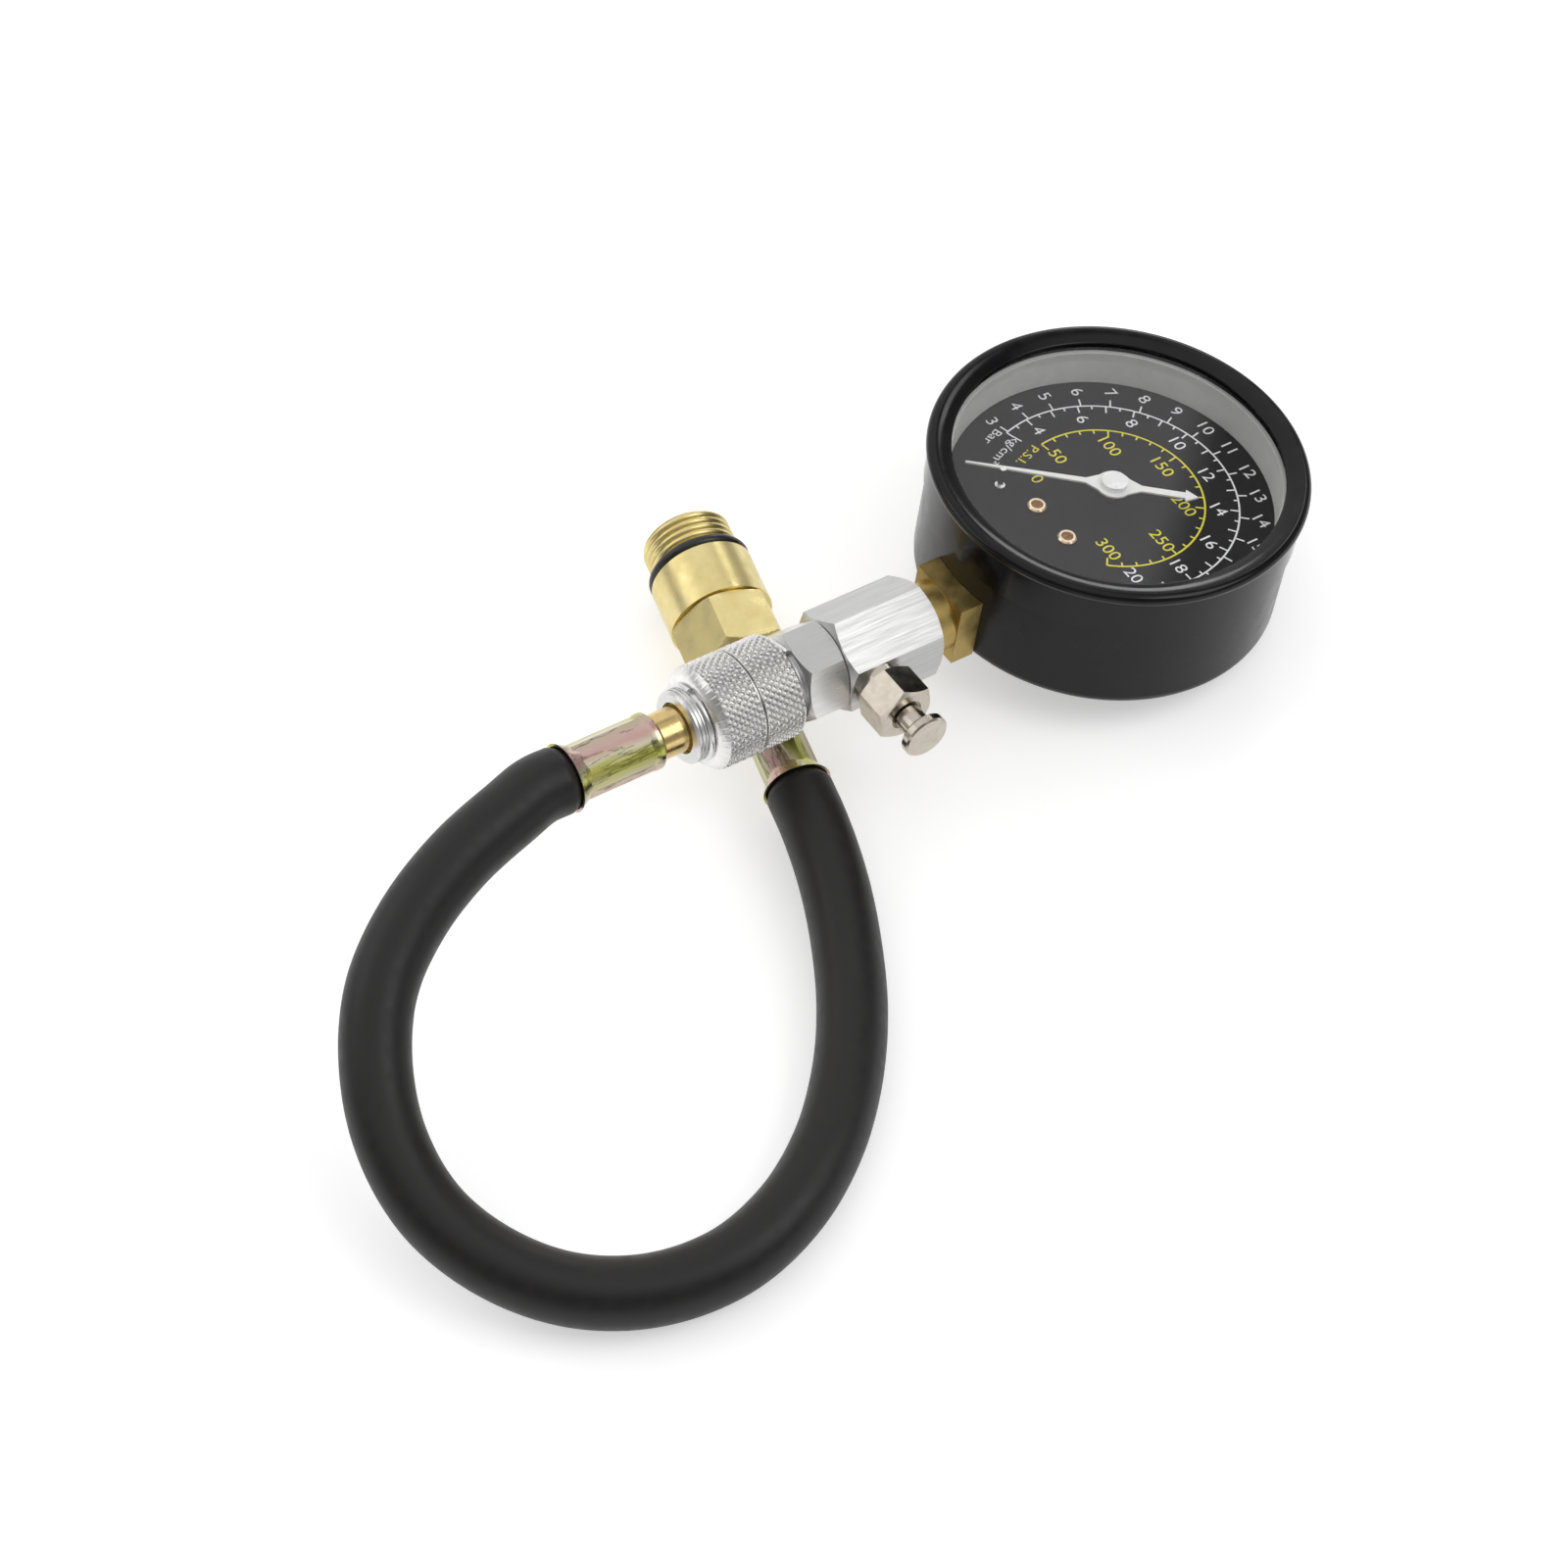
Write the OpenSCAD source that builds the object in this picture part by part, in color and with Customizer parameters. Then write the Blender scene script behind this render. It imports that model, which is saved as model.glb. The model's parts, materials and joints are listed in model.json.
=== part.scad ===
// Compression tester gauge, lying on a table with its dial up.
// A dial gauge screws into a valve body with a relief button. A quick coupler on the valve body
// holds the plug of a rubber hose, which ends in a threaded brass adapter for the spark plug hole.

/* [Lie on the table] */
// Lean of the gauge away from the hose, in degrees
tilt = 9.5; // [8:0.5:12]
// Turn of the adapter away from square to the stem, in degrees
adapter_lean = 14; // [12:0.5:15]
// Rise of the adapter towards its thread, in degrees
adapter_pitch = 2; // [2:0.1:3]

/* [Case and window] */
// Outer radius of the case
case_r = 35.7; // [34.5:0.1:38]
// Sheet thickness of the case wall
case_wall = 0.9; // [0.6:0.1:1.2]
// Sheet thickness of the case back
case_back = 1; // [0.8:0.1:1.4]
// Outer rounding between case wall and back
case_fillet = 2.5; // [2:0.1:3.5]
// Height from the back to the front of the bezel
gauge_h = 30.9; // [30.5:0.1:34]
// Sheet thickness of the bezel
bezel_wall = 0.5; // [0.4:0.05:0.7]
// Length of the bezel skirt down the case
bezel_skirt = 10.4; // [8:0.1:13]
// Radius of the rolled bezel rim
lip_round = 1.3; // [1.1:0.05:1.5]
// Width of the bezel's front ring, from the case's outer radius to the window opening
bezel_front = 4.7; // [4.2:0.1:6]
// Thickness of the window
lens_t = 1.8; // [1.4:0.1:2.4]
// Thickness of the gasket under the window
gasket_t = 1; // [0.6:0.1:1.4]
// Gap between the case wall and the spacer ring that stands between dial and window
spacer_gap = 2; // [1.5:0.1:2.6]
// Wall of the spacer ring
spacer_wall = 1; // [0.6:0.1:1.4]

/* [Dial and needle] */
// Depth of the dial face below the front of the bezel
dial_depth = 10.8; // [10.2:0.1:11]
// Thickness of the dial plate
dial_t = 0.8; // [0.5:0.1:1]
// Gap between the needle's tip and the spacer ring
needle_gap = 3.1; // [2:0.1:6]
// Length of the needle's tail
needle_tail = 16.4; // [12:0.1:17]
// Sheet thickness of the needle
needle_t = 0.4; // [0.3:0.05:0.6]
// Height of the needle above the dial face
needle_up = 3.2; // [2.6:0.1:3.6]
// Direction of the needle at rest, from the top of the dial
needle_rest = 139; // [135:1:145]
// Radius of the hub cap on the needle
hub_r = 2.5; // [2:0.1:3]
// Distance of the stop pin from the needle's tip, towards the pivot
stop_in = 7.2; // [5:0.1:10]
// Height of the stop pin above the dial
stop_h = 4.6; // [4.2:0.1:5.2]
// Radius of the stop pin
stop_r = 0.6; // [0.4:0.05:0.8]
// Distance of the dial screws below the dial centre
dial_screw_down = 14.4; // [13:0.1:15]
// Half of the distance between the dial screws
dial_screw_side = 4.8; // [4.4:0.1:6]
// Radius of the dial screw heads
dial_screw_r = 1.9; // [1.5:0.1:2.2]

/* [Movement] */
// Tooth size of the gears
gear_module = 0.3; // [0.28:0.01:0.32]
// Teeth of the pinion
pinion_teeth = 12; // [11:1:13]
// Teeth that the sector would have on a full circle
sector_teeth = 88; // [84:1:92]
// Teeth that are cut on the sector
sector_cut = 12; // [11:1:14]
// Direction of the sector pivot from the dial centre
pivot_turn = 208; // [204:1:212]
// Reach of the sector tail from its pivot
tail_arm = 5; // [4.5:0.1:5.5]
// Sheet thickness of the movement plates
plate_t = 1.2; // [1:0.1:1.4]
// Radius of the movement plates
plate_r = 16.5; // [16:0.1:18]
// Mean radius of the pressure tube
tube_r = 25; // [23.5:0.1:26]
// Radial thickness of the flattened pressure tube
tube_w = 3; // [2.4:0.1:3.6]
// Height of the flattened pressure tube
tube_h = 6.6; // [5.6:0.1:7]
// Wall of the pressure tube
tube_wall = 0.5; // [0.3:0.05:0.7]
// Direction at which the pressure tube ends
tube_end = 245; // [240:1:250]
// Turns of the hairspring
hair_turns = 4; // [3:1:5]

/* [Gauge socket] */
// Width of the square on the socket
square_w = 14; // [12.5:0.1:14.2]
// Length of the square outside the case
square_len = 8.8; // [7.5:0.1:11]
// Height of the socket block inside the case
block_h = 10; // [9.8:0.1:10.4]
// Reach of the socket block towards the dial centre
block_in = 8; // [6:0.1:9]

/* [Valve body] */
// Width across the flats of the valve body
valve_af = 18; // [17:0.1:20]
// Length of the valve body's hexagon
valve_len = 21.5; // [20.5:0.1:26]
// Radius of the pipe threads
pipe_r = 4.9; // [4.5:0.1:5.2]
// Length of the pipe threads
pipe_len = 8.5; // [7:0.1:8.7]
// Radius of the gas passage
gas_r = 2.25; // [1.8:0.05:2.4]

/* [Relief valve] */
// Distance of the relief valve from the gauge end of the valve body
relief_at = 15.3; // [14.5:0.1:15.5]
// Width across the flats of the relief housing
relief_af = 11; // [10:0.1:12]
// Length of the relief housing's hexagon
relief_hex = 7.6; // [6.5:0.1:9]
// Thickness of the collar at the foot of the relief housing
relief_collar = 1.5; // [1:0.1:2]
// Turn of the relief housing's hexagon about its own axis, in degrees
relief_turn = -20; // [-60:1:60]
// Radius of the button stem
button_r = 2.75; // [2.4:0.05:2.85]
// Radius of the button head
head_r = 4.65; // [4:0.05:5]
// Thickness of the button head
head_t = 2; // [1.5:0.1:2.5]
// Clear length of the button stem between housing and head
button_out = 4.6; // [3.6:0.1:5.5]

/* [Coupler] */
// Width across the flats of the coupler's hexagon
coupler_af = 17; // [16:0.1:18]
// Length of the coupler's hexagon
coupler_hex = 9; // [9:0.1:11]
// Turn of the coupler's hexagon about the stem
coupler_turn = 20; // [0:1:60]
// Free travel between the hexagon and the sleeve
sleeve_gap = 2; // [1.9:0.1:2.4]
// Outer radius of the sleeve
sleeve_r = 10.35; // [10.1:0.05:10.6]
// Length of the sleeve
sleeve_len = 18.5; // [18:0.1:20]
// Radius of the coupler barrel
barrel_r = 7.2; // [7:0.05:7.4]
// Length of the barrel's nose in front of the sleeve
nose_len = 3.5; // [3:0.1:4.5]
// Radius of the locking balls
ball_r = 1.5; // [1.4:0.05:1.6]
// Number of locking balls
ball_count = 4; // [3:1:6]
// Wire radius of the snap ring
snap_wire = 0.6; // [0.4:0.05:0.7]

/* [Hose and its ends] */
// Outer radius of the hose
hose_r = 6.5; // [6.3:0.1:6.5]
// Radius of the plug inside the coupler
plug_r = 5; // [4.9:0.05:5.1]
// Radius of the plug's and the adapter's necks
neck_r = 4.5; // [4:0.05:4.6]
// Length of the plug's neck between coupler and ferrule
neck_len = 5.5; // [5:0.1:7]
// Length of a ferrule
ferrule_len = 19; // [18:0.1:20]
// Radius of a ferrule over its crimped flats' corners
ferrule_r = 5.5; // [5.3:0.05:5.6]
// Radius of the bead at a ferrule's closed end
ferrule_collar = 5.6; // [5.5:0.05:5.8]
// Radius of a ferrule's flared mouth
ferrule_mouth = 6.7; // [6.6:0.05:6.9]
// Wall of a ferrule
ferrule_wall = 0.5; // [0.4:0.05:0.6]

/* [Adapter] */
// Length of the adapter's neck from ferrule to hexagon
adapter_neck = 10; // [9.5:0.1:11]
// Width across the flats of the adapter's hexagon
adapter_af = 19; // [18:0.1:19]
// Turn of the adapter's hexagon about its own axis, in degrees
adapter_turn = 14.5; // [14:0.5:15]
// Length of the adapter's hexagon
adapter_hex = 12; // [11:0.1:12.5]
// Radius of the adapter's round body
adapter_r = 10.3; // [9.8:0.05:10.3]
// Length of the adapter's round body
adapter_len = 11.7; // [10:0.1:13]
// Outer radius of the spark plug thread
thread_r = 9; // [8.5:0.05:9.2]
// Length of the spark plug thread
thread_len = 7.2; // [6.5:0.1:10]
// Cord radius of the adapter's sealing ring
seal_cord = 1.15; // [0.9:0.05:1.2]
// Outer radius of the check valve
core_r = 3.15; // [3:0.05:3.4]
// Length of the check valve
core_len = 10; // [9.5:0.1:10.5]

/* [Hidden] */
$fn = 64;

// Clearances: a slip fit, a running fit, a thread, and free air between moving pieces
slip = 0.05;
run = 0.1;
air = 0.3;
// Overrun of a cut past the face that it opens
over = 1;

// Heights in the gauge, from the back of the case
lip_z = gauge_h - lip_round;
lens_z = lip_z - lens_t;
rim_z = lens_z - gasket_t;
dial_z = gauge_h - dial_depth;
dial_under = dial_z - dial_t;
block_top = case_back + block_h;
lower_top = block_top + plate_t;
upper_under = dial_under - plate_t;
sector_t = 1;
sector_z = lower_top + 1.3;
link_t = 0.6;
link_z = sector_z + sector_t + air;
hair_h = 0.8;
hair_z = upper_under - 1.1 - hair_h;
needle_z = dial_z + needle_up;
hub_t = 1.1;
hub_top = needle_z + needle_t + hub_t;

// Radii in the gauge
case_in = case_r - case_wall;
flat_r = case_r - case_fillet;
bezel_in = case_r + slip;
window_r = case_r - bezel_front;
spacer_r = case_in - spacer_gap - spacer_wall;
needle_len = spacer_r - needle_gap;
stop_at = needle_len - stop_in;
dial_r = case_in - 0.6;
lens_r = case_r - 0.2;
plate_shift = 4.5;
plate_flat = plate_r - 4.5;
pillar_r = 1.6;
tenon_r = 0.8;
pillar_back = 11.5;
pillar_turned = 6;
pillar_front = 9.5;
pillar_side = 8;
pillar_at = [[-plate_shift - pillar_back, pillar_turned], [plate_r - pillar_front, -pillar_side],
    [plate_r - pillar_front, pillar_side]];

// Gears of the movement, with slightly thinned teeth
pinion_r = gear_module * pinion_teeth / 2;
sector_r = gear_module * sector_teeth / 2;
gear_far = pinion_r + sector_r;
tooth_thin = 0.04;
pressure_angle = 20;
pinion_tip = 0.9 * gear_module;
sector_tip = 0.65 * gear_module;
tooth_root = 1.15 * gear_module;
pivot_at = gear_far * [cos(pivot_turn), sin(pivot_turn)];
mesh_turn = pivot_turn - 180;
sector_pitch = 360 / sector_teeth;
needle_sweep = 270;
sector_sweep = needle_sweep * pinion_teeth / sector_teeth;
tail_turn = pivot_turn - sector_sweep / 2;
tail_at = pivot_at + tail_arm * [cos(tail_turn), sin(tail_turn)];
pivot_r = 0.6;
arbor_r = 1;
link_pin = 0.55;
tail_pin = 0.5;
tail_play = 0.3;
link_eye = 1.2;
link_w = 1.4;
hair_in = 1.65;
hair_out = 6;
hair_thick = 0.16;

// Pressure tube and its tip
tube_z = block_top - 0.7 - tube_h / 2;
tip_span = 6;
tip_turn = tube_end - tip_span / 2;
tip_at = tube_r * [cos(tip_turn), sin(tip_turn)];
tip_wall = 0.3;

// Socket block, and the screws in it; the square stands level with the inside of the case back
stem_z = case_back + square_w / 2;
block_w = square_w;
block_out = sqrt(flat_r * flat_r - block_w * block_w / 4) - 0.2;
wall_neck = 5.5;
gauge_bore = 1.5;
screw_edge = 6;
case_screw_at = [-block_in - screw_edge, -block_out + screw_edge];
near_screw = [3, 3.5];
far_screw = [10, 3];
movement_screw_at = [[-block_in - near_screw[0], near_screw[1]], [-block_in - far_screw[0], -far_screw[1]]];
screw_r = 1;
screw_deep = 3;

// Stations along the stem, from the gauge axis
s_valve = case_r + square_len;
s_relief = s_valve + relief_at;
s_coupler = s_valve + valve_len;
s_barrel = s_coupler + coupler_hex;
s_sleeve = s_barrel + sleeve_gap;
s_front = s_sleeve + sleeve_len;
s_nose = s_front + nose_len;
s_ferrule = s_nose + neck_len;
s_mouth = s_ferrule + ferrule_len;
s_ball = s_front - 5;
s_seat = s_ball - 4.5;
s_plug = s_seat - 4;
s_pocket = s_plug - 1;
s_snap = s_front + slip + snap_wire;
s_groove = s_plug + 1.5;

// Coupler radii
plug_bore = plug_r + run;
seal_bore = 3.7;
plug_nose = seal_bore - run;
coupler_cord = 0.9;
sleeve_bore = barrel_r + run;
ball_in = sleeve_bore - ball_r - 0.03;
ball_groove = ball_in - ball_r - 0.07;
lock_land = 4;
recess_len = 3.4;
coupler_wire = 0.5;
coupler_coil = barrel_r + 0.45 + coupler_wire;
spring_room = coupler_coil + coupler_wire + air;

// Distances of the relief valve from the stem axis
d_flat = valve_af / 2;
d_stub = d_flat - 4;
d_hex = d_flat + relief_collar;
d_face = d_hex + relief_hex;
d_head = d_face + button_out;
d_room = d_flat - 1;
d_guide = d_face - 1.9;
relief_stub = 3.95;
relief_room = 3.3;
relief_seat = 1.4;
tail_r = 1.1;
flange_r = 3.1;
flange_t = 1.4;
disc_r = 2.4;
disc_t = 0.8;
chamber_r = 3;
relief_wire = 0.25;
relief_coil = 2.2;

// Place of the part: the case rests on its back edge, and the middle of the rigid part is at x = 0
lift = flat_r * sin(tilt) + case_fillet * (1 - cos(tilt));
x_far = case_r * cos(tilt) + lip_z * sin(tilt) + lip_round;
x_near = (stem_z - barrel_r) * sin(tilt) - s_nose * cos(tilt);
origin_x = -(x_far + x_near) / 2;

// Stations along the adapter, from the mouth of its ferrule
adapter_at = [-50.1, -11.5, 9.56];
plate_end = 1;
a_neck = ferrule_len - plate_end;
a_hex = ferrule_len + adapter_neck;
a_body = a_hex + adapter_hex;
a_seal = a_body + adapter_len;
a_thread = a_seal + 2 * seal_cord + slip;
a_end = a_thread + thread_len;
a_core = a_end - 2 - core_len;
adapter_bore = 2;
core_bore = 1.6;
core_seat = 0.75;
pin_r = 0.55;
pin_head = 1.3;
core_wire = 0.15;
core_coil = 1;
a_web = a_core + 2;
web_t = 1.5;
pin_disc = 1.4;
pin_disc_t = 1;
pin_seal_t = 0.35;

// Hose: the two ends lie in the ferrules, and the points between lie free
hose_end_r = ferrule_r * cos(22.5) - ferrule_wall - slip;
hose_free = [[-105, -1.5, 35], [-118, -4.5, 34.5], [-130.5, -9, 32], [-141.5, -16, 28.5],
    [-150, -27, 23.5], [-154.5, -39, 18.8], [-155, -52, 14.5], [-150.5, -65, 11], [-142, -76, 8.4],
    [-130, -83.5, 6.9], [-116, -86.5, 6.6], [-102, -84, 6.6], [-89.5, -77.5, 6.6], [-78.5, -68, 6.6],
    [-69.5, -57, 6.7], [-62, -44.5, 7.1], [-56, -31.5, 8]];
hose_inside = ferrule_len - plate_end;
flare_len = 2.6;
hose_sides = 12;
hose_parts = 3;

function stem_point(s) = [origin_x + stem_z * sin(tilt) - s * cos(tilt), 0,
    lift + stem_z * cos(tilt) + s * sin(tilt)];
function adapter_point(a) = adapter_at + a * [sin(adapter_lean) * cos(adapter_pitch),
    cos(adapter_lean) * cos(adapter_pitch), sin(adapter_pitch)];
function polar(r, a) = r * [cos(a), sin(a)];
function unit(v) = v / norm(v);
function back_to_front(list) = [for (i = [len(list) - 1:-1:0]) list[i]];

// A smooth curve through points, each span cut into equal parts
function heading(p, i) = i == 0 ? unit(p[1] - p[0]) : i == len(p) - 1 ? unit(p[i] - p[i - 1]) :
    let (a = norm(p[i] - p[i - 1]), b = norm(p[i + 1] - p[i]))
    ((p[i] - p[i - 1]) * b / a + (p[i + 1] - p[i]) * a / b) / (a + b);
function between(p, i, t) = let (d = norm(p[i + 1] - p[i]), u = 1 - t)
    u * u * (1 + 2 * t) * p[i] + t * t * (1 + 2 * u) * p[i + 1]
    + d * t * u * (u * heading(p, i) - t * heading(p, i + 1));
function curve(p, parts) = concat(
    [for (i = [0:len(p) - 2], k = [0:parts - 1]) between(p, i, k / parts)], [p[len(p) - 1]]);

// Frames: the gauge, the stem with z along it, the relief valve, and the adapter with z along it
module gauge_frame() {
    translate([origin_x, 0, lift])
        rotate([0, tilt, 0])
            children();
}

module stem_frame() {
    gauge_frame()
        translate([0, 0, stem_z])
            rotate([0, -90, 0])
                children();
}

module relief_frame() {
    gauge_frame()
        translate([-s_relief, 0, stem_z])
            rotate([90, 0, 0])
                children();
}

module adapter_frame() {
    translate(adapter_at)
        rotate([0, 0, -adapter_lean])
            rotate([adapter_pitch - 90, 0, 0])
                children();
}

// A ring from z0 to z1
module ring(r_in, r_out, z0, z1) {
    rotate_extrude()
        translate([r_in, z0])
            square([r_out - r_in, z1 - z0]);
}

// A solid rod from z0 to z1
module rod(r, z0, z1) {
    translate([0, 0, z0])
        cylinder(r = r, h = z1 - z0);
}

// A hexagonal bar from z0 to z1 with turned ends, and corners along x
module hex_bar(af, z0, z1) {
    corner = af / sqrt(3);
    face = af / 2 - 0.3;
    slope = (corner - face) * tan(30);
    intersection() {
        translate([0, 0, z0])
            cylinder(r = corner, h = z1 - z0, $fn = 6);
        rotate_extrude()
            polygon([[0, z0], [face, z0], [corner, z0 + slope], [corner, z1 - slope], [face, z1], [0, z1]]);
    }
}

// A flattened tube section, r across and h high, about the middle of its height
module oval(w, h) {
    for (side = [-1, 1])
        translate([0, side * (h - w) / 2])
            circle(d = w);
    square([w, h - w], center = true);
}

// A bar with round ends between two points
module eye_bar(a, b, eye, w) {
    turn = atan2(b[1] - a[1], b[0] - a[0]);
    for (p = [a, b])
        translate(p)
            circle(r = eye);
    translate(a)
        rotate(turn)
            translate([0, -w / 2])
                square([norm(b - a), w]);
}

// A tube of given radii swept along points, closed at both ends
module sweep(points, radii, sides) {
    last = len(points) - 1;
    rings = [for (i = [0:last])
        let (
            along = unit(points[min(i + 1, last)] - points[max(i - 1, 0)]),
            side = unit(cross(along, [0, 0, 1])),
            up = cross(side, along)
        )
        for (j = [0:sides - 1])
            let (a = 360 * j / sides)
            points[i] + radii[i] * (cos(a) * side + sin(a) * up)];
    walls = [for (i = [0:last - 1], j = [0:sides - 1], half = [0, 1])
        let (
            k = (j + 1) % sides,
            a = i * sides + j,
            b = i * sides + k,
            c = a + sides,
            d = b + sides
        )
        half == 0 ? [d, c, a] : [d, a, b]];
    first_end = [[for (j = [sides - 1:-1:0]) j]];
    last_end = [[for (j = [0:sides - 1]) last * sides + j]];
    polyhedron(points = rings, faces = concat(walls, first_end, last_end));
}

// A wire coil between z0 and z1, with a flat turn left out at each end
module coil(mean_r, wire_r, z0, z1, turns) {
    steps = 14;
    count = turns * steps;
    rise = z1 - z0 - 2 * wire_r;
    points = [for (i = [0:count])
        [mean_r * cos(360 * i / steps), mean_r * sin(360 * i / steps), z0 + wire_r + rise * i / count]];
    sweep(points, [for (i = [0:count]) wire_r], 6);
}

// Half of a tooth's angle at radius r, on involute flanks
function involute(a) = tan(a) * 180 / PI - a;
function flank(r, pitch_r, half) = let (base = pitch_r * cos(pressure_angle))
    half + involute(pressure_angle) - involute(acos(min(1, base / r)));
function tooth(at, pitch_r, half, root, tip) = let (
        base = pitch_r * cos(pressure_angle),
        low = max(root, base),
        radii = [root, low, (low + pitch_r) / 2, pitch_r, (pitch_r + tip) / 2, tip]
    )
    concat([for (r = radii) polar(r, at - flank(max(r, base), pitch_r, half))],
        [for (r = back_to_front(radii)) polar(r, at + flank(max(r, base), pitch_r, half))]);
function half_tooth(teeth, pitch_r) = 90 / teeth - tooth_thin / pitch_r * 180 / PI;

module case() {
    inner_fillet = case_fillet - case_wall;
    color("#1b1c1f")
        gauge_frame()
            difference() {
                rotate_extrude()
                    difference() {
                        union() {
                            square([flat_r, rim_z]);
                            translate([0, case_fillet])
                                square([case_r, rim_z - case_fillet]);
                            translate([flat_r, case_fillet])
                                circle(r = case_fillet);
                        }
                        translate([0, case_back])
                            square([flat_r, rim_z]);
                        translate([0, case_back + inner_fillet])
                            square([case_in, rim_z]);
                        translate([flat_r, case_back + inner_fillet])
                            circle(r = inner_fillet);
                    }
                translate([-case_r - over, 0, stem_z])
                    rotate([0, 90, 0])
                        cylinder(r = wall_neck + slip, h = case_fillet + over);
                for (x = case_screw_at)
                    translate([x, 0, 0])
                        case_screw(slip);
            }
}

module bezel() {
    color("#16171a")
        gauge_frame()
            rotate_extrude() {
                translate([bezel_in, lip_z + lip_round - bezel_skirt])
                    square([bezel_wall, bezel_skirt - 2 * lip_round + bezel_wall]);
                intersection() {
                    difference() {
                        translate([case_r, lip_z])
                            circle(r = lip_round);
                        translate([case_r, lip_z])
                            circle(r = lip_round - bezel_wall);
                    }
                    translate([bezel_in, 0])
                        square([lip_round, gauge_h]);
                }
                translate([window_r, gauge_h - bezel_wall])
                    square([bezel_in - window_r + slip, bezel_wall]);
                translate([window_r, lip_z + slip])
                    square([bezel_wall, lip_round - slip]);
            }
}

module lens() {
    color("#dfe8ea", 0.35)
        gauge_frame()
            rod(lens_r, lens_z, lip_z);
}

module lens_gasket() {
    color("#2a2a2a")
        gauge_frame()
            ring(case_in - 0.2, lens_r, rim_z, lens_z);
}

module spacer_ring() {
    color("#b9bcbb")
        gauge_frame() {
            ring(spacer_r, spacer_r + spacer_wall, dial_z, lens_z - slip);
            ring(spacer_r, dial_r, dial_z, dial_z + spacer_wall);
        }
}

module dial() {
    color("#24262a")
        gauge_frame()
            difference() {
                rod(dial_r, dial_under, dial_z);
                rod(arbor_r + air, dial_under - over, dial_z + over);
                at_dial_screws()
                    rod(screw_r + slip, dial_under - over, dial_z + over);
                at_stop_pin()
                    rod(stop_r + slip, dial_under - over, dial_z + over);
            }
}

module at_dial_screws() {
    for (side = [-1, 1])
        translate([-dial_screw_down, side * dial_screw_side, 0])
            children();
}

module at_stop_pin() {
    rotate(needle_rest + 4)
        translate([stop_at, 0, 0])
            children();
}

module dial_screws() {
    head_h = 0.9;
    head_edge = 0.3;
    dimple_r = dial_screw_r * 0.62;
    dimple_deep = 0.45;
    slot_w = 0.4;
    color("#b58a3a")
        gauge_frame()
            at_dial_screws() {
                rod(screw_r, upper_under + slip, dial_z);
                difference() {
                    rotate_extrude()
                        polygon([[0, dial_z], [dial_screw_r, dial_z],
                            [dial_screw_r, dial_z + head_h - head_edge],
                            [dial_screw_r - head_edge, dial_z + head_h], [dimple_r, dial_z + head_h],
                            [dimple_r - 0.15, dial_z + head_h - dimple_deep],
                            [0, dial_z + head_h - dimple_deep]]);
                    translate([-dimple_r / 2, -slot_w / 2, dial_z + head_h - dimple_deep - 0.2])
                        cube([dimple_r, slot_w, head_h]);
                }
            }
}

module stop_pin() {
    collar_r = 1;
    collar_h = 0.3;
    color("#8d9092")
        gauge_frame()
            at_stop_pin() {
                rod(stop_r, dial_under, dial_z + stop_h);
                rod(collar_r, dial_z, dial_z + collar_h);
            }
}

module needle() {
    root_w = 0.65;
    tip_w = 0.2;
    tail_w = 0.75;
    boss_r = 3.5;
    flare_w = 2.1;
    flare_from = 2.8;
    flare_to = 5.4;
    arrow_from = needle_tail - 2.5;
    arrow_w = 1.5;
    color("#f2f2ee")
        gauge_frame()
            translate([0, 0, needle_z])
                rotate(needle_rest)
                    linear_extrude(needle_t)
                        difference() {
                            union() {
                                circle(r = boss_r);
                                polygon([[0, -flare_w], [flare_from, -flare_w], [flare_to, -root_w],
                                    [needle_len, -tip_w], [needle_len, tip_w], [flare_to, root_w],
                                    [flare_from, flare_w], [0, flare_w]]);
                                polygon([[0, flare_w], [-flare_from, flare_w], [-flare_to, tail_w],
                                    [-arrow_from, tail_w], [-arrow_from, arrow_w], [-needle_tail, 0],
                                    [-arrow_from, -arrow_w], [-arrow_from, -tail_w], [-flare_to, -tail_w],
                                    [-flare_from, -flare_w], [0, -flare_w]]);
                            }
                            circle(r = arbor_r + 2 * slip + 0.3);
                        }
}

module needle_hub() {
    color("#c9cbcc")
        gauge_frame()
            difference() {
                union() {
                    rod(arbor_r + slip + 0.3, needle_z - 0.5, needle_z + needle_t);
                    rod(hub_r, needle_z + needle_t, hub_top);
                }
                rod(arbor_r + slip, needle_z - over, hub_top - hub_t / 2);
            }
}

module pinion_arbor() {
    half = half_tooth(pinion_teeth, pinion_r);
    color("#c4b27a")
        gauge_frame() {
            rod(pivot_r, block_top + run, lower_top + run);
            rod(arbor_r, lower_top + run, hub_top - hub_t / 2 - slip);
            rod(hair_in - slip, hair_z - 0.2, hair_z + hair_h + 0.2);
            translate([0, 0, sector_z - 0.4])
                linear_extrude(sector_t + 0.8)
                    polygon([for (k = [0:pinion_teeth - 1])
                        let (at = pivot_turn + (k + 0.5) * 360 / pinion_teeth)
                        each tooth(at, pinion_r, half, pinion_r - tooth_root, pinion_r + pinion_tip)]);
        }
}

module hairspring() {
    steps = 24;
    count = hair_turns * steps;
    line = [for (i = [0:count]) [hair_in + (hair_out - hair_in) * i / count, 360 * i / steps]];
    color("#8f9aa6")
        gauge_frame()
            translate([0, 0, hair_z])
                linear_extrude(hair_h)
                    polygon(concat([for (p = line) polar(p[0], p[1])],
                        [for (p = back_to_front(line)) polar(p[0] + hair_thick, p[1])]));
}

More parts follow.
